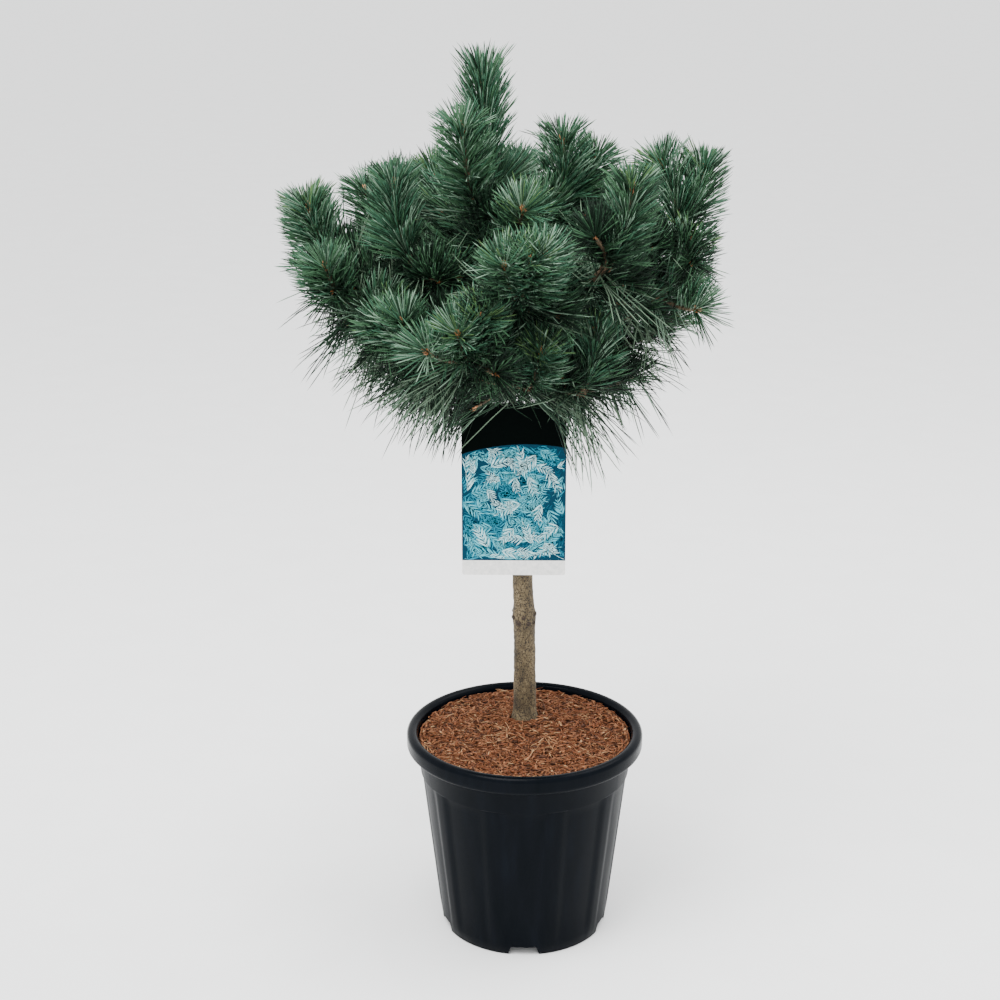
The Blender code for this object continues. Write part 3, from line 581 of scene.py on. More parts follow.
def shootNeedles(path, inner, vigour, spread, dealt, rng):
    # fresh needles: open along the shoot, closing towards the bud, with a blunt crest of shorter ones past it
    pairs = int(pathLength(path) / needle["pitch"])
    # inner side twigs take the painted-shade mixture and no fresh tips, painting the shade inside the crown
    mixture = innerShadeMixture if inner else rng.choice(mixtures)
    bright = 0.0 if inner else rng.choice([0.0, 0.3, 0.6])
    turn = rng.uniform(0, 2 * math.pi)
    for i in range(pairs):
        t = (i + rng.random()) / pairs
        point, along = pointAlong(path, 0.08 + 0.91 * t)
        sway = needle["straySway"] if rng.random() < needle["stray"] else needle["sway"]
        lean = math.radians(openingAt(t) * spread + rng.gauss(0, sway))
        out = around(along, turn + i * 2.39996)
        if along.z * math.cos(lean) + out.z * math.sin(lean) < needle["under"] and rng.random() < needle["underLost"]:
            continue  # few needles stand under a lying shoot
        tone = "needleFresh" if rng.random() < (t - 0.7) * bright else pick(mixture, rng)
        length = needle["length"] * vigour * rng.uniform(0.86, 1.04) * (1 - 0.22 * t * t)
        rise = rng.uniform(0.0, 0.34) * (1 - along.z)  # lying shoots turn their needles up
        addPair(dealt[tone], point, along, out, lean, length, rng.uniform(-0.04, 0.12), -rise, rng)
    point, along = pointAlong(path, 0.99)
    crest = min(needle["crestOpening"] * spread ** 2, 68)
    for i in range(needle["crest"]):
        open = math.sqrt(rng.random())
        tone = "needleFresh" if rng.random() < 0.35 * bright else pick(mixture, rng)
        short, long = needle["crestLengths"]
        length = needle["length"] * vigour ** 2 * (short + (long - short) * open) * rng.uniform(0.9, 1.1)
        addPair(dealt[tone], point, along, around(along, i * 2.39996), math.radians(crest * open),
                length, rng.uniform(-0.04, 0.06), rng.uniform(0.0, 0.04), rng)


def oldNeedles(path, start, longer, whorl, dealt, rng):
    # old needles: sparse, long, arching out and hanging, with a whorl of the longest at the fork
    pairs = int(pathLength(path) * (1 - start) / (needle["oldPitch"] if start > 0.2 else needle["lowPitch"]))
    open0, open1 = needle["oldOpenings"]
    for i in range(pairs):
        t = (i + rng.random()) / pairs
        point, along = pointAlong(path, start + (0.95 - start) * t)
        lean = math.radians(open0 + (open1 - open0) * t + rng.gauss(0, needle["oldSway"]))
        addPair(dealt[pick(oldMixture, rng)], point, along, around(along, rng.uniform(0, 2 * math.pi)), lean,
                needle["oldLength"] * longer * rng.uniform(0.72, 1.08), rng.uniform(-0.15, 0.25),
                rng.uniform(0.0, 0.34), rng, 0.30)
    for i in range(whorl):
        point, along = pointAlong(path, rng.uniform(0.90, 0.98))
        addPair(dealt[pick(whorlMixture, rng)], point, along, around(along, i * 2.39996), math.radians(
            rng.uniform(70, 128)), needle["oldLength"] * longer * rng.uniform(0.80, 1.06),
            rng.uniform(-0.1, 0.2), rng.uniform(0.0, 0.4), rng, 0.42)


def needleArrays(data, marks, width):
    # verts and triangles of many needles at once, with a ring of three at each mark (place, share of width)
    root, aim, bend, size, girth = data[:, 0:3], data[:, 3:6], data[:, 6:9], data[:, 9], data[:, 10]
    guide = np.where(np.abs(aim[:, 2:3]) < 0.9, np.array([[0.0, 0.0, 1.0]]), np.array([[1.0, 0.0, 0.0]]))
    side = unit(np.cross(aim, guide))
    up = np.cross(side, aim)
    count, each = len(data), 3 * len(marks) + 1
    verts = np.zeros((count, each, 3))
    for r, (t, w) in enumerate(marks):
        centre = root + (aim * t + bend * t * t) * size[:, None]
        for k in range(3):
            a = 2 * math.pi * k / 3
            out = side * math.cos(a) + up * math.sin(a)
            verts[:, r * 3 + k] = centre + out * (width * 0.5 * w * girth)[:, None]
    verts[:, each - 1] = root + (aim + bend) * size[:, None]
    pattern = []
    for r in range(len(marks) - 1):
        for k in range(3):
            j = (k + 1) % 3
            a, b, c, d = r * 3 + k, r * 3 + j, (r + 1) * 3 + j, (r + 1) * 3 + k
            pattern += [(a, b, c), (a, c, d)]
    last = 3 * (len(marks) - 1)
    pattern += [(last + k, last + (k + 1) % 3, each - 1) for k in range(3)]
    faces = np.array(pattern)[None] + each * np.arange(count)[:, None, None]
    return verts.reshape(-1, 3), faces.reshape(-1, 3)


def insideReach(rows, margin, drop):
    # keeps the needles whose tips stay in the reach of the solids, and clear of the card
    data = np.array(rows)
    tips = data[:, 0:3] + (data[:, 3:6] + data[:, 6:9]) * data[:, 9:10]
    low, high = np.array(cadBox[0]) + 0.001, np.array(cadBox[1]) - 0.001
    kept = ((tips > low) & (tips < high)).all(axis=1)
    within = np.zeros(len(data), bool)
    for boxLow, boxHigh in reachBoxes:
        within |= ((tips > np.array(boxLow) - (margin, margin, drop)) & (tips < np.array(boxHigh) + margin)).all(axis=1)
    kept &= within
    cardLow, cardHigh = [np.array(corner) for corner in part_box("tag_card")]
    middle = (cardLow[0] + cardHigh[0]) / 2
    across = np.abs(tips[:, 0] - middle) < 0.064
    crosses = (tips[:, 2] < cardHigh[2] + 0.002) & across
    behind = data[:, 1] > cardLow[1]
    kept &= ~(crosses & behind & (tips[:, 1] < cardHigh[1] + 0.004))
    kept &= ~(crosses & ~behind & (tips[:, 1] > cardLow[1] - 0.004))
    # few needles hang before the card as the camera sees it, most of them at its right
    draw = np.random.default_rng(len(data)).random(len(data))
    seen = tips[:, 2] + (tips[:, 1] - cardLow[1]) * needle["sight"]
    over = across & ~behind & (seen < cardHigh[2] - 0.007)
    right = tips[:, 0] > middle + 0.018
    share = np.where(right, needle["overCardRight"], needle["overCard"])
    lowest = cardHigh[2] - np.where(right, 0.042, 0.018)
    kept &= ~(over & ((draw > share) | (seen < lowest)))
    return data[kept]


def makeFoliage(plans):
    rng = random.Random(needle["seed"])
    fresh = {name: [] for name in greens}
    old = {name: [] for name in greens}
    for plan in plans:
        for path in plan["shoots"] + plan["side"]:
            vigour = needle["leader"] if path is plans[0]["shoots"][0] else 1.0
            spread = needle["spreads"].get(plan["name"], rng.uniform(*needle["spread"]))
            shootNeedles(path, path in plan["side"], vigour, spread, fresh, rng)
        low = plan["oldWood"][-1].z < 0.78
        wood = plan["bough"][:-1] + plan["oldWood"]
        whorl = needle["whorls"].get(plan["name"], needle["whorl"])
        oldNeedles(wood, 0.10 if low else 0.36, 1.12 if low else 1.0, whorl, old, rng)
    hidden = ["mass_" + plan["name"] for plan in plans]
    total = 0
    for name in greens:
        parts = []
        if fresh[name]:
            parts.append(needleArrays(insideReach(fresh[name], 0.008, 0.008), needle["marks"], needle["width"]))
        if old[name]:
            parts.append(needleArrays(insideReach(old[name], 0.020, needle["drop"]), needle["oldMarks"],
                                      needle["oldWidth"]))
        verts = np.vstack([part[0] for part in parts])
        faces = np.vstack([parts[0][1]] + [part[1] + len(parts[0][0]) for part in parts[1:]])
        total += len(faces)
        for number, start in enumerate(range(0, len(faces), pieceLimit)):
            newPiece("%s.%d" % (name, number), *usedOnly(verts, faces[start:start + pieceLimit]), needleMaterial(name),
                     hidden, "needles")
    print("needles made:", total, "triangles")


def usedOnly(verts, faces):
    used, places = np.unique(faces, return_inverse=True)
    return verts[used], places.reshape(faces.shape)


def twigMaterial():
    # bare young wood: orange-brown, scaly where last year's needles sat; dull
    material, tree, shader = newMaterial("orangeTwigBark", {"Roughness": 0.75})
    place = addNode(tree, "ShaderNodeTexCoord")
    scales = addNode(tree, "ShaderNodeTexVoronoi", {"Scale": 520.0}, {"Vector": place.outputs["Object"]})  # 2 mm pegs
    tones = addNode(tree, "ShaderNodeTexNoise", {"Scale": 160.0, "Detail": 4.0}, {"Vector": place.outputs["Object"]})
    colour = colourRamp(tree, tones.outputs["Fac"], [(0.3, "#332b1e"), (0.5, "#4e422f"), (0.72, "#74634a")])
    tree.links.new(colour, shader.inputs["Base Color"])
    bump = addNode(tree, "ShaderNodeBump", {"Strength": 0.8, "Distance": 0.0008}, {"Height": scales.outputs["Distance"]})
    tree.links.new(bump.outputs["Normal"], shader.inputs["Normal"])
    return material


def makeWood(plans):
    bark = twigMaterial()
    boughs, twigs = [], []
    for index, plan in enumerate(plans):
        if plan["bough"]:
            count = len(plan["bough"])
            radii = [0.0056 + (0.0044 - 0.0056) * i / (count - 1) for i in range(count)]
            boughs.append(tubeArrays(plan["bough"], radii, 14, 0.0007, 260.0, index))
        old = plan["oldWood"]
        twigs.append(tubeArrays(old, [0.0043 - 0.0006 * i / (len(old) - 1) for i in range(len(old))], 12, 0.0008,
                                420.0, index))
        for path in plan["shoots"] + plan["side"]:
            radii = [0.0032 - 0.0010 * i / (len(path) - 1) for i in range(len(path))]
            twigs.append(tubeArrays(path, radii, 10, 0.0006, 520.0, index))
    verts, faces = joined(boughs)
    newPieceLists("boughBark", verts, faces, bark, ["bough_" + plan["name"] for plan in plans if plan["bough"]])
    verts, faces = joined(twigs)
    newPieceLists("twigs", verts, faces, bark, ["mass_" + plan["name"] for plan in plans])
    print("boughs and twigs made")


def newPieceLists(name, verts, faces, material, replaced):
    mesh = bpy.data.meshes.new(name)
    mesh.from_pydata(verts, [], faces)
    mesh.shade_smooth()
    mesh.materials.append(material)
    piece = bpy.data.objects.new(name, mesh)
    bpy.context.scene.collection.objects.link(piece)
    settle(piece, replaced)
    return piece


# Buds: resinous spindles at the shoots' tips, with a few small ones round them

bud = {"length": 0.014, "radius": 0.0036, "sides": 10}


def budMaterial():
    # winter bud: papery red-brown scales under a film of resin, so warm with a small gleam
    material, tree, shader = newMaterial("resinBud", {"Roughness": 0.45, "Coat Weight": 0.35, "Coat Roughness": 0.25})
    place = addNode(tree, "ShaderNodeTexCoord")
    scales = addNode(tree, "ShaderNodeTexVoronoi", {"Scale": 700.0}, {"Vector": place.outputs["Object"]})
    colour = colourRamp(tree, scales.outputs["Distance"], [(0.1, "#c9946a"), (0.5, "#a46a3e"), (0.9, "#74472a")])
    tree.links.new(colour, shader.inputs["Base Color"])
    return material


def spindle(base, aim, length, radius):
    shares = [0.0, 0.12, 0.3, 0.5, 0.7, 0.86, 1.0]
    girths = [0.55, 0.9, 1.0, 0.92, 0.66, 0.34, 0.03]
    path = [base + aim * length * share for share in shares]
    return tubeArrays(path, [radius * girth for girth in girths], bud["sides"], radius * 0.12, 900.0)


def makeBuds(plans):
    rng = random.Random(88)
    parts = []
    for plan in plans:
        for path in plan["shoots"] + plan["side"]:
            tip, aim = pointAlong(path, 0.995)
            big = 1.0 if path in plan["shoots"] else 0.7
            parts.append(spindle(tip - aim * 0.002, aim, bud["length"] * big, bud["radius"] * big))
            for _ in range(rng.randrange(1, 4)):
                lean = heading(rng.uniform(0, 360), rng.uniform(-20, 60))
                parts.append(spindle(tip - aim * 0.003, (aim * 1.6 + lean).normalized(),
                                     bud["length"] * big * rng.uniform(0.5, 0.75), bud["radius"] * big * 0.66))
    verts, faces = joined(parts)
    newPieceLists("buds", verts, faces, budMaterial(), ["mass_" + plan["name"] for plan in plans])
    print("buds made")


# Bud scales: papery flakes left round the wood where last year's bud stood

flakes = {"count": 34, "length": (0.003, 0.007), "width": 0.0017, "thick": 0.0004, "reach": 0.009, "seed": 140}


def sliver(centre, along, across, length, width, thick, curl):
    # a bent strip with a rough lens-shaped outline, closed
    up = along.cross(across)
    verts, faces = [], []
    for t, w in ((-0.5, 0.25), (-0.18, 1.0), (0.2, 0.85), (0.5, 0.2)):
        middle = centre + along * length * t + up * curl * (0.25 - t * t) * length
        verts += [tuple(middle + across * width * w / 2 + up * thick / 2),
                  tuple(middle - across * width * w / 2 + up * thick / 2), tuple(middle - up * thick / 2)]
    for r in range(3):
        for k in range(3):
            j = (k + 1) % 3
            faces.append((r * 3 + k, r * 3 + j, (r + 1) * 3 + j, (r + 1) * 3 + k))
    faces += [(2, 1, 0), (9, 10, 11)]
    return verts, faces


def flakeMaterial():
    # dry bud scale: thin as paper, tan at the edge and red-brown at the root; matt
    material, tree, shader = newMaterial("paperyBudScale", {"Roughness": 0.8})
    place = addNode(tree, "ShaderNodeTexCoord")
    tones = addNode(tree, "ShaderNodeTexNoise", {"Scale": 420.0, "Detail": 3.0}, {"Vector": place.outputs["Object"]})
    colour = colourRamp(tree, tones.outputs["Fac"], [(0.34, "#3a281b"), (0.5, "#664831"), (0.66, "#94745a")])
    tree.links.new(colour, shader.inputs["Base Color"])
    return material


def makeFlakes(plans):
    rng = random.Random(flakes["seed"])
    parts = []
    for plan in plans:
        for path in [plan["oldWood"]] + plan["shoots"]:
            fork = path is plan["oldWood"]
            for i in range(flakes["count"] if fork else flakes["count"] // 2):
                away = rng.uniform(0, flakes["reach"])
                length = pathLength(path)
                point, along = pointAlong(path, 1 - away / length if fork else away * 1.6 / length)
                out = around(along, i * 2.39996)
                aim = (along + out * rng.uniform(0.15, 0.7)).normalized()
                size = rng.uniform(*flakes["length"])
                centre = point + out * 0.0036 + aim * size * 0.3
                parts.append(sliver(centre, aim, along.cross(out).normalized(), size, flakes["width"], flakes["thick"],
                                    rng.uniform(-0.6, 0.6)))
    verts, faces = joined(parts)
    newPieceLists("budScales", verts, faces, flakeMaterial(), ["mass_" + plan["name"] for plan in plans])
    print("bud scales made")


# Pot: the CAD's profile turned finely, with soft panels below the collar and notches at the foot

pot = {"height": 0.250, "rimRadius": 0.1405, "rimRoll": 0.0132, "rimDrop": 0.0066, "band": 0.021,
       "collarRadius": 0.1265, "collarHeight": 0.031, "collarStep": 0.0015, "collarTaper": 0.0022,
       "baseRadius": 0.0990, "wall": 0.0026, "plate": 0.0030, "wallInset": 0.0038, "footRing": 0.0135,
       "footFlare": 0.0022, "panelFoot": 0.0240, "panelHead": 0.012, "panelTaper": 0.0012, "edge": 0.0015,
       "panels": 10, "panelDepth": 0.0020, "panelWidth": 0.86, "panelBlend": 0.30, "sides": 240,
       "notches": 5, "notchWidth": 0.035, "notchHeight": 0.0105, "notchReach": 0.026}


def potMaterial():
    # recycled polypropylene, injection moulded: near-black, satin, with faint flow streaks and nursery dust
    material, tree, shader = newMaterial("mouldedPolypropylene", {"Roughness": 0.38, "IOR": 1.49,
                                                                "Specular IOR Level": 0.038})
    place = addNode(tree, "ShaderNodeTexCoord")
    drawn = addNode(tree, "ShaderNodeMapping", {"Scale": (1.0, 1.0, 0.16)}, {"Vector": place.outputs["Object"]})
    streaks = addNode(tree, "ShaderNodeTexNoise", {"Scale": 75.0, "Detail": 5.0}, {"Vector": drawn.outputs["Vector"]})
    grain = addNode(tree, "ShaderNodeTexNoise", {"Scale": 1400.0, "Detail": 2.0}, {"Vector": place.outputs["Object"]})
    colour = colourRamp(tree, streaks.outputs["Fac"], [(0.25, "#020509"), (0.55, "#05080d"), (0.8, "#080c12")])
    tree.links.new(colour, shader.inputs["Base Color"])
    rough = addNode(tree, "ShaderNodeMapRange", {"To Min": 0.30, "To Max": 0.52}, {"Value": streaks.outputs["Fac"]})
    # hands and trays polish the rim
    height = addNode(tree, "ShaderNodeSeparateXYZ", links={"Vector": place.outputs["Object"]})
    polish = addNode(tree, "ShaderNodeMapRange", {"From Min": 0.226, "From Max": 0.238, "To Min": 1.0, "To Max": 0.55},
                     {"Value": height.outputs["Z"]})
    worn = addNode(tree, "ShaderNodeMath", {"operation": "MULTIPLY"})
    tree.links.new(rough.outputs["Result"], worn.inputs[0])
    tree.links.new(polish.outputs["Result"], worn.inputs[1])
    tree.links.new(worn.outputs["Value"], shader.inputs["Roughness"])
    bump = addNode(tree, "ShaderNodeBump", {"Strength": 0.25, "Distance": 0.0003}, {"Height": grain.outputs["Fac"]})
    tree.links.new(bump.outputs["Normal"], shader.inputs["Normal"])
    return material


def potProfile():
    # radius, height and share of the panel depth, from the foot up the outside, over the rim and down inside
    top, base, edge, wall = pot["height"], pot["baseRadius"], pot["edge"], pot["wall"]
    bandFoot = top - pot["band"]
    collarFoot = bandFoot - pot["collarHeight"]
    wallTop = pot["collarRadius"] - pot["collarStep"] - pot["collarTaper"]
    half = pot["rimRoll"] / 2
    outer, mouth = pot["rimRadius"], pot["rimRadius"] - pot["rimRoll"]
    low, high = base + pot["wallInset"], wallTop - pot["panelTaper"]
    foot = [(base - edge / 2, 0.0, 0), (base, edge / 2, 0), (base + pot["footFlare"], pot["footRing"], 0.3)]
    panels = [(low + (high - low) * i / 6, pot["panelFoot"] + (collarFoot - pot["panelHead"] - pot["panelFoot"]) * i / 6,
               1.0) for i in range(7)]
    collar = [(wallTop - edge / 3, collarFoot - pot["panelHead"] / 2, 0.9), (wallTop, collarFoot - edge, 0.5),
              (wallTop + pot["collarStep"] * 0.8, collarFoot - edge / 4, 0),
              (wallTop + pot["collarStep"], collarFoot + edge / 2, 0),
              (pot["collarRadius"] + edge * 0.8, bandFoot - edge * 2, 0),
              (pot["collarRadius"] + edge * 1.4, bandFoot - edge / 2, 0)]
    # the band's lower edge is rounded under, then the roll goes over the rim
    band = [(outer - edge * 2.4 * (1 - math.sin(a)), bandFoot + edge * 3.2 * (1 - math.cos(a)), 0)
            for a in [math.pi / 2 * i / 6 for i in range(7)]]
    roll = [(outer - half + half * math.cos(a), top - pot["rimDrop"] * (1 - math.sin(a)), 0)
            for a in [math.pi * i / 16 for i in range(17)]]
    inside = [(mouth - edge / 2, bandFoot + edge * 3, 0), (pot["collarRadius"] - wall, bandFoot - edge, 0),
              (wallTop - wall, collarFoot - edge, 0.6), (high - wall, collarFoot - pot["panelHead"], 1.0),
              (low - wall, pot["panelFoot"], 1.0), (base - wall, pot["plate"], 0)]
    return foot + panels + collar + band + roll + inside


def panelShare(angle):
    step = 2 * math.pi / pot["panels"]
    offset = abs((angle + step / 2) % step - step / 2) / (step / 2)
    t = min(1.0, max(0.0, (pot["panelWidth"] - offset) / pot["panelBlend"]))
    return t * t * (3 - 2 * t)


def makePot():
    bm = bmesh.new()
    rows = []
    for radius, height, panelled in potProfile():
        row = []
        for i in range(pot["sides"]):
            a = 2 * math.pi * i / pot["sides"]
            reach = radius - pot["panelDepth"] * panelled * panelShare(a)
            row.append(bm.verts.new((reach * math.sin(a), -reach * math.cos(a), height)))
        rows.append(row)
    for low, high in zip(rows, rows[1:]):
        for i in range(pot["sides"]):
            j = (i + 1) % pot["sides"]
            bm.faces.new((low[i], low[j], high[j], high[i]))
    bm.faces.new(list(reversed(rows[0])))
    bm.faces.new(rows[-1])
    mesh = bpy.data.meshes.new("potShell")
    bm.to_mesh(mesh)
    bm.free()
    mesh.materials.append(potMaterial())
    piece = bpy.data.objects.new("potShell", mesh)
    bpy.context.scene.collection.objects.link(piece)
    cutNotches(piece)
    piece.data.shade_smooth()
    piece.data.set_sharp_from_angle(angle=math.radians(38))
    settle(piece, ["pot"])
    print("pot made")


def cutNotches(piece):
    bm = bmesh.new()
    for n in range(pot["notches"]):
        turn = Matrix.Rotation(2 * math.pi * n / pot["notches"], 3, "Z")
        rings = []
        for height, width in ((-0.004, pot["notchWidth"] + 0.004), (pot["notchHeight"], pot["notchWidth"] - 0.005)):
            inner, outer = pot["baseRadius"] - pot["notchReach"], pot["baseRadius"] + 0.02
            corners = [(-width / 2, -outer), (width / 2, -outer), (width / 2, -inner), (-width / 2, -inner)]
            rings.append([bm.verts.new(turn @ Vector((x, y, height))) for x, y in corners])
        low, high = rings
        for i in range(4):
            j = (i + 1) % 4
            bm.faces.new((low[i], low[j], high[j], high[i]))
        bm.faces.new(list(reversed(low)))
        bm.faces.new(high)
    mesh = bpy.data.meshes.new("notchCutter")
    bm.to_mesh(mesh)
    bm.free()
    cutter = bpy.data.objects.new("notchCutter", mesh)
    bpy.context.scene.collection.objects.link(cutter)
    modifier = piece.modifiers.new("notches", "BOOLEAN")
    modifier.object = cutter
    modifier.operation = "DIFFERENCE"
    graph = bpy.context.evaluated_depsgraph_get()
    piece.data = bpy.data.meshes.new_from_object(piece.evaluated_get(graph))
    piece.modifiers.remove(modifier)
    bpy.data.objects.remove(cutter, do_unlink=True)


# Mulch: a rough bed with thousands of coir chips and fibres lying on it

mulch = {"chips": 5600, "shreds": 3600, "reach": 0.1258, "strands": 14, "clear": 0.0185, "seed": 61,
         "tones": {"coirRed": "#73401f", "coirTan": "#905e3c", "coirPale": "#ae8862", "coirDark": "#4d2a12"}}


def mulchHeight(x, y):
    away = math.hypot(x - trunk["foot"].x, y - trunk["foot"].y)
    share = min(1.0, max(0.0, (away - 0.024) / 0.11))
    return soilTop - 0.0003 - 0.0046 * share ** 1.5


def mulchMaterial(name, hexCode):
    # chipped coir husk, shredded and dry: matt and fibrous, from dark pith to pale fibre
    material, tree, shader = newMaterial(name, {"Roughness": 0.9, "Specular IOR Level": 0.35})
    place = addNode(tree, "ShaderNodeTexCoord")
    tones = addNode(tree, "ShaderNodeTexNoise", {"Scale": 260.0, "Detail": 4.0}, {"Vector": place.outputs["Object"]})
    shade = addNode(tree, "ShaderNodeMix", {"data_type": "RGBA", "blend_type": "MULTIPLY", "Factor": 0.55,
                                            "A": linearColour(hexCode)})
    tree.links.new(colourRamp(tree, tones.outputs["Fac"], [(0.3, "#8a7668"), (0.65, "#ffffff")]), shade.inputs["B"])
    tree.links.new(shade.outputs["Result"], shader.inputs["Base Color"])
    return material


def makeMulch():
    rng = random.Random(mulch["seed"])
    bed()
    dealt = {name: [] for name in mulch["tones"]}
    chipTones = ["coirRed"] * 8 + ["coirTan"] * 5 + ["coirDark"] * 3 + ["coirPale"]
    shredTones = ["coirRed"] * 6 + ["coirTan"] * 5 + ["coirDark"] * 2 + ["coirPale"]
    for i in range(mulch["chips"] + mulch["shreds"]):
        a, r = rng.uniform(0, 360), mulch["reach"] * math.sqrt(rng.random())
        centre = heading(a, 0) * r
        if math.hypot(centre.x - trunk["foot"].x, centre.y - trunk["foot"].y) < mulch["clear"]:
            continue
        shred = i >= mulch["chips"]
        length = rng.uniform(0.007, 0.020) if shred else rng.uniform(0.0035, 0.0120)
        width = rng.uniform(0.0006, 0.0012) if shred else rng.uniform(0.0013, 0.0036)
        thick = rng.uniform(0.0004, 0.0008) if shred else rng.uniform(0.0005, 0.0014)
        beside = r + length * 0.5 > mulch["reach"] - 0.001  # slivers beside the wall lie along it
        turn = a + 90 + rng.uniform(-16, 16) if beside else rng.uniform(0, 360)
        if beside:
            centre *= (mulch["reach"] - 0.0015) / r if r > mulch["reach"] - 0.0015 else 1.0
        centre.z = mulchHeight(centre.x, centre.y) + rng.uniform(-0.0012, 0.0034)
        tone = rng.choice(shredTones if shred else chipTones)
        dealt[tone].append(sliver(centre, heading(turn, rng.gauss(0, 13)), heading(turn + 90, 0), length, width, thick,
                                  rng.uniform(-0.2, 0.5)))
    for _ in range(mulch["strands"]):
        dealt["coirPale"].append(strand(rng))
    for name, parts in dealt.items():
        verts, faces = joined(parts)
        newPieceLists(name, verts, faces, mulchMaterial(name, mulch["tones"][name]), ["potting_mix"])
    print("mulch made")


def strand(rng):
    # a long pale husk fibre that lies in a loose bow on top
    a, r, turn = rng.uniform(0, 360), rng.uniform(0.02, 0.095), rng.uniform(0, 360)
    start = heading(a, 0) * r
    if math.hypot(start.x - trunk["foot"].x, start.y - trunk["foot"].y) < 0.05:
        start.y -= 0.06
    length = rng.uniform(0.014, 0.040)
    end = start + heading(turn, 0) * length
    if end.length > mulch["reach"] - 0.004:
        end = start - heading(turn, 0) * length
    bow = heading(turn + 90, 0) * length * rng.uniform(-0.14, 0.14)
    path = bezier(start, (start + end) / 2 + bow, end, 10)
    for i, point in enumerate(path):
        point.z = mulchHeight(point.x, point.y) + 0.0034 + 0.0008 * math.sin(i * 1.3)
    return tubeArrays(path, [0.0006 * (1 - 0.5 * abs(i / 5 - 1)) for i in range(11)], 5)


def bed():
    # the bed meets the wall of the pot just under the rim
    verts, faces = [], []
    rings, spokes = 60, 160
    for r in range(rings + 1):
        for k in range(spokes):
            a = 2 * math.pi * k / spokes
            reach = mulch["reach"] * max(r / rings, 0.001)
            x, y = reach * math.sin(a), reach * math.cos(a)
            rough = noise.fractal(Vector((x * 160, y * 160, 2.0)), 0.8, 2.1, 4) * 0.0016
            verts.append((x, y, mulchHeight(x, y) - 0.0012 + rough))
    for r in range(rings):
        for k in range(spokes):
            j = (k + 1) % spokes
            faces.append((r * spokes + j, r * spokes + k, (r + 1) * spokes + k, (r + 1) * spokes + j))
    newPieceLists("mulchBed", verts, faces, mulchMaterial("coirBed", "#48200b"), ["potting_mix"])


# Plant tag: a printed card with a bare header, a field of sprigs and a bare white strip

card = {"header": 0.245, "arch": 0.010, "strip": 0.087, "thick": 0.0006, "corner": 0.003, "ink": 0.00004,
        "seed": 9, "tones": {"leafDusk": "#1c5569", "leafTeal": "#2b8ba1", "leafSky": "#62bdcb", "leafPale": "#bfe9ec"},
        "sprigs": {"leafDusk": 60, "leafTeal": 80, "leafSky": 70, "leafPale": 34}}


def cardMaterial(name, hexCode):
    # printed polypropylene card: flat ink with a fine screen of dots too small to show, drawn as soft mottle; satin
    material, tree, shader = newMaterial(name, {"Roughness": 0.5, "Specular IOR Level": 0.012})
    place = addNode(tree, "ShaderNodeTexCoord")
    ink = addNode(tree, "ShaderNodeTexNoise", {"Scale": 240.0, "Detail": 3.0}, {"Vector": place.outputs["Object"]})
    mix = addNode(tree, "ShaderNodeMix", {"data_type": "RGBA", "blend_type": "MULTIPLY", "Factor": 0.35,
                                          "A": linearColour(hexCode)})
    tree.links.new(colourRamp(tree, ink.outputs["Fac"], [(0.3, "#a8b4b8"), (0.7, "#ffffff")]), mix.inputs["B"])
    tree.links.new(mix.outputs["Result"], shader.inputs["Base Color"])
    return material


def archAt(x, low, high, top):
    # lower edge of the card's dark header: an arch, highest a little right of the middle
    t = (x - low.x) / (high.x - low.x)
    return top - card["arch"] * (1 - 1.25 * math.sin(math.pi * min(t / 1.25, 1)) ** 0.8)


def cardBand(name, colour, outline, y):
    # one printed band of the card, cut to its outline of x and z, through the card's thickness
    count = len(outline)
    verts = [(x, y + side * card["thick"] / 2, z) for side in (-1, 1) for x, z in outline]
    faces = [tuple(range(count)), tuple(reversed(range(count, 2 * count)))]
    faces += [(i, i + count, (i + 1) % count + count, (i + 1) % count) for i in range(count)]
    newPieceLists(name, verts, faces, cardMaterial(name, colour), ["tag_card"]).data.shade_flat()


def makeCard():
    low, high = [Vector(corner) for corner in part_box("tag_card")]
    y = (low.y + high.y) / 2
    height = high.z - low.z
    foot, head = low.z + height * card["strip"], high.z - height * card["header"]
    r = card["corner"]
    edge = [low.x + (high.x - low.x) * i / 24 for i in range(25)]
    arch = [(x, archAt(x, low, high, head)) for x in edge]
    turns = [math.pi / 2 * i / 5 for i in range(6)]
    cardBand("cardStrip", "#f3f1ed", [(low.x + r - r * math.cos(a), low.z + r - r * math.sin(a)) for a in turns]
             + [(high.x - r + r * math.sin(a), low.z + r - r * math.cos(a)) for a in turns]
             + [(high.x, foot), (low.x, foot)], y)
    cardBand("cardField", "#15384a", [(low.x, foot), (high.x, foot)] + arch[::-1], y)
    cardBand("cardHeader", "#020605", arch + [(high.x - r + r * math.cos(a), high.z - r + r * math.sin(a))
                                              for a in turns]
             + [(low.x + r - r * math.sin(a), high.z - r + r * math.cos(a)) for a in turns], y)
    printSprigs(low, high, foot, head, y)
    print("card made")


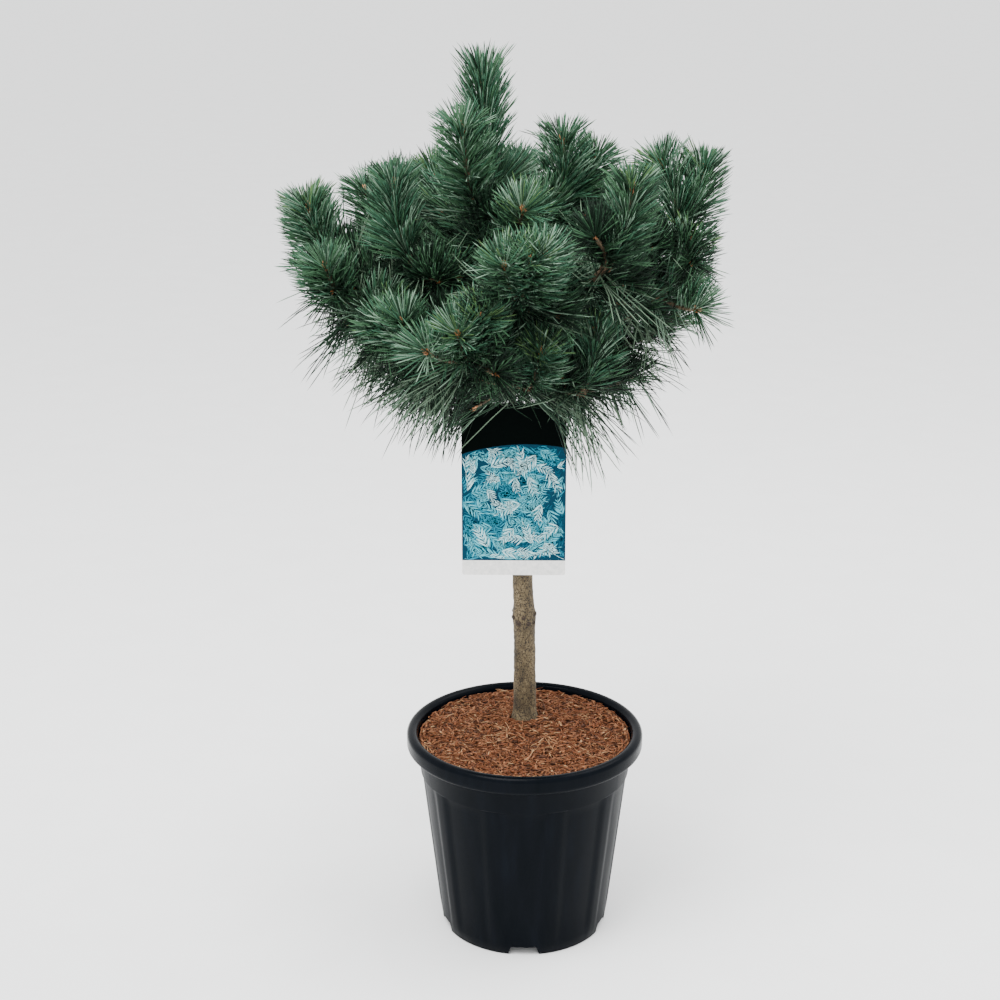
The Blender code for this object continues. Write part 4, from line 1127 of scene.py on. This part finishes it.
def printSprigs(low, high, foot, head, y):
    # leafy sprigs printed over each other from dark to pale, on both faces, cut off where the field ends
    rng = random.Random(card["seed"])

    def inField(x, z):
        return low.x + 0.0006 < x < high.x - 0.0006 and foot + 0.0004 < z < archAt(x, low, high, head) - 0.0004

    for level, (name, count) in enumerate(card["sprigs"].items()):
        verts, faces = [], []
        for face in (-1, 1):
            for _ in range(count):
                x, z = rng.uniform(low.x, high.x), rng.uniform(foot, head)
                for outline in sprigLeaves(x, z, rng.uniform(0, 360), rng.uniform(0.018, 0.032), rng):
                    if all(inField(*spot) for spot in outline):
                        deep, shallow = [y + face * (card["thick"] / 2 + card["ink"] * part) for part in (level, level + 0.9)]
                        leafPlate(verts, faces, outline[::face], deep, shallow)
        newPieceLists(name, verts, faces, cardMaterial(name, card["tones"][name]), ["tag_card"])


def leafPlate(verts, faces, outline, deep, shallow):
    # a printed leaf as a thin closed plate
    base, count = len(verts), len(outline)
    verts += [(x, depth, z) for depth in (deep, shallow) for x, z in outline]
    faces += [tuple(base + i for i in reversed(range(count))), tuple(base + count + i for i in range(count))]
    faces += [(base + i, base + (i + 1) % count, base + count + (i + 1) % count, base + count + i) for i in range(count)]


def sprigLeaves(x, z, turn, size, rng):
    # one bent stem with paired narrow leaves and one at its tip, as outlines of x and z
    bend = rng.uniform(-40, 40)
    leaves = []
    spot = Vector((x, z))
    for i in range(6):
        aim = math.radians(turn + bend * i / 5)
        along = Vector((math.cos(aim), math.sin(aim)))
        for side in ((-1, 1) if i < 5 else (0,)):
            lean = aim + side * math.radians(rng.uniform(26, 44))
            leaves.append(leafOutline(spot, lean, size * rng.uniform(0.38, 0.55) * (1 - 0.09 * i)))
        leaves.append(leafOutline(spot, aim, size / 5, 0.06))
        spot = spot + along * size / 6
    return leaves


def leafOutline(root, aim, length, slim=0.085):
    along, across = Vector((math.cos(aim), math.sin(aim))), Vector((-math.sin(aim), math.cos(aim)))
    shape = ((0, 0), (0.3, 0.8), (0.65, 0.7), (1, 0), (0.65, -0.7), (0.3, -0.8))
    return [tuple(root + along * length * t + across * length * slim * w) for t, w in shape]


def makeStrap():
    # the strap keeps its CAD shape and takes a milky moulded finish
    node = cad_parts["tag_strap"]
    material, tree, shader = newMaterial("milkyPolythene", {"Roughness": 0.4})
    place = addNode(tree, "ShaderNodeTexCoord")
    haze = addNode(tree, "ShaderNodeTexNoise", {"Scale": 220.0, "Detail": 3.0}, {"Vector": place.outputs["Object"]})
    tree.links.new(colourRamp(tree, haze.outputs["Fac"], [(0.3, "#8f9992"), (0.7, "#b3bab5")]),
                   shader.inputs["Base Color"])
    node.data.materials.clear()
    node.data.materials.append(material)


makeCamera()
makeStudio()
makeTrunk()
plans = [planLeader()] + [planBough(row, i) for i, row in enumerate(crown["boughs"])]
reachBoxes = [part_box("mass_" + plan["name"]) for plan in plans] + crown["cores"]
addSourceShoots(plans)
for number, plan in enumerate(plans):
    plan["side"] = sideShoots(plan, number)
print("twigs planned:", sum(len(plan["shoots"]) + len(plan["side"]) for plan in plans))
makeWood(plans)
makeFoliage(plans)
makeBuds(plans)
makeFlakes(plans)
makePot()
makeMulch()
makeCard()
makeStrap()
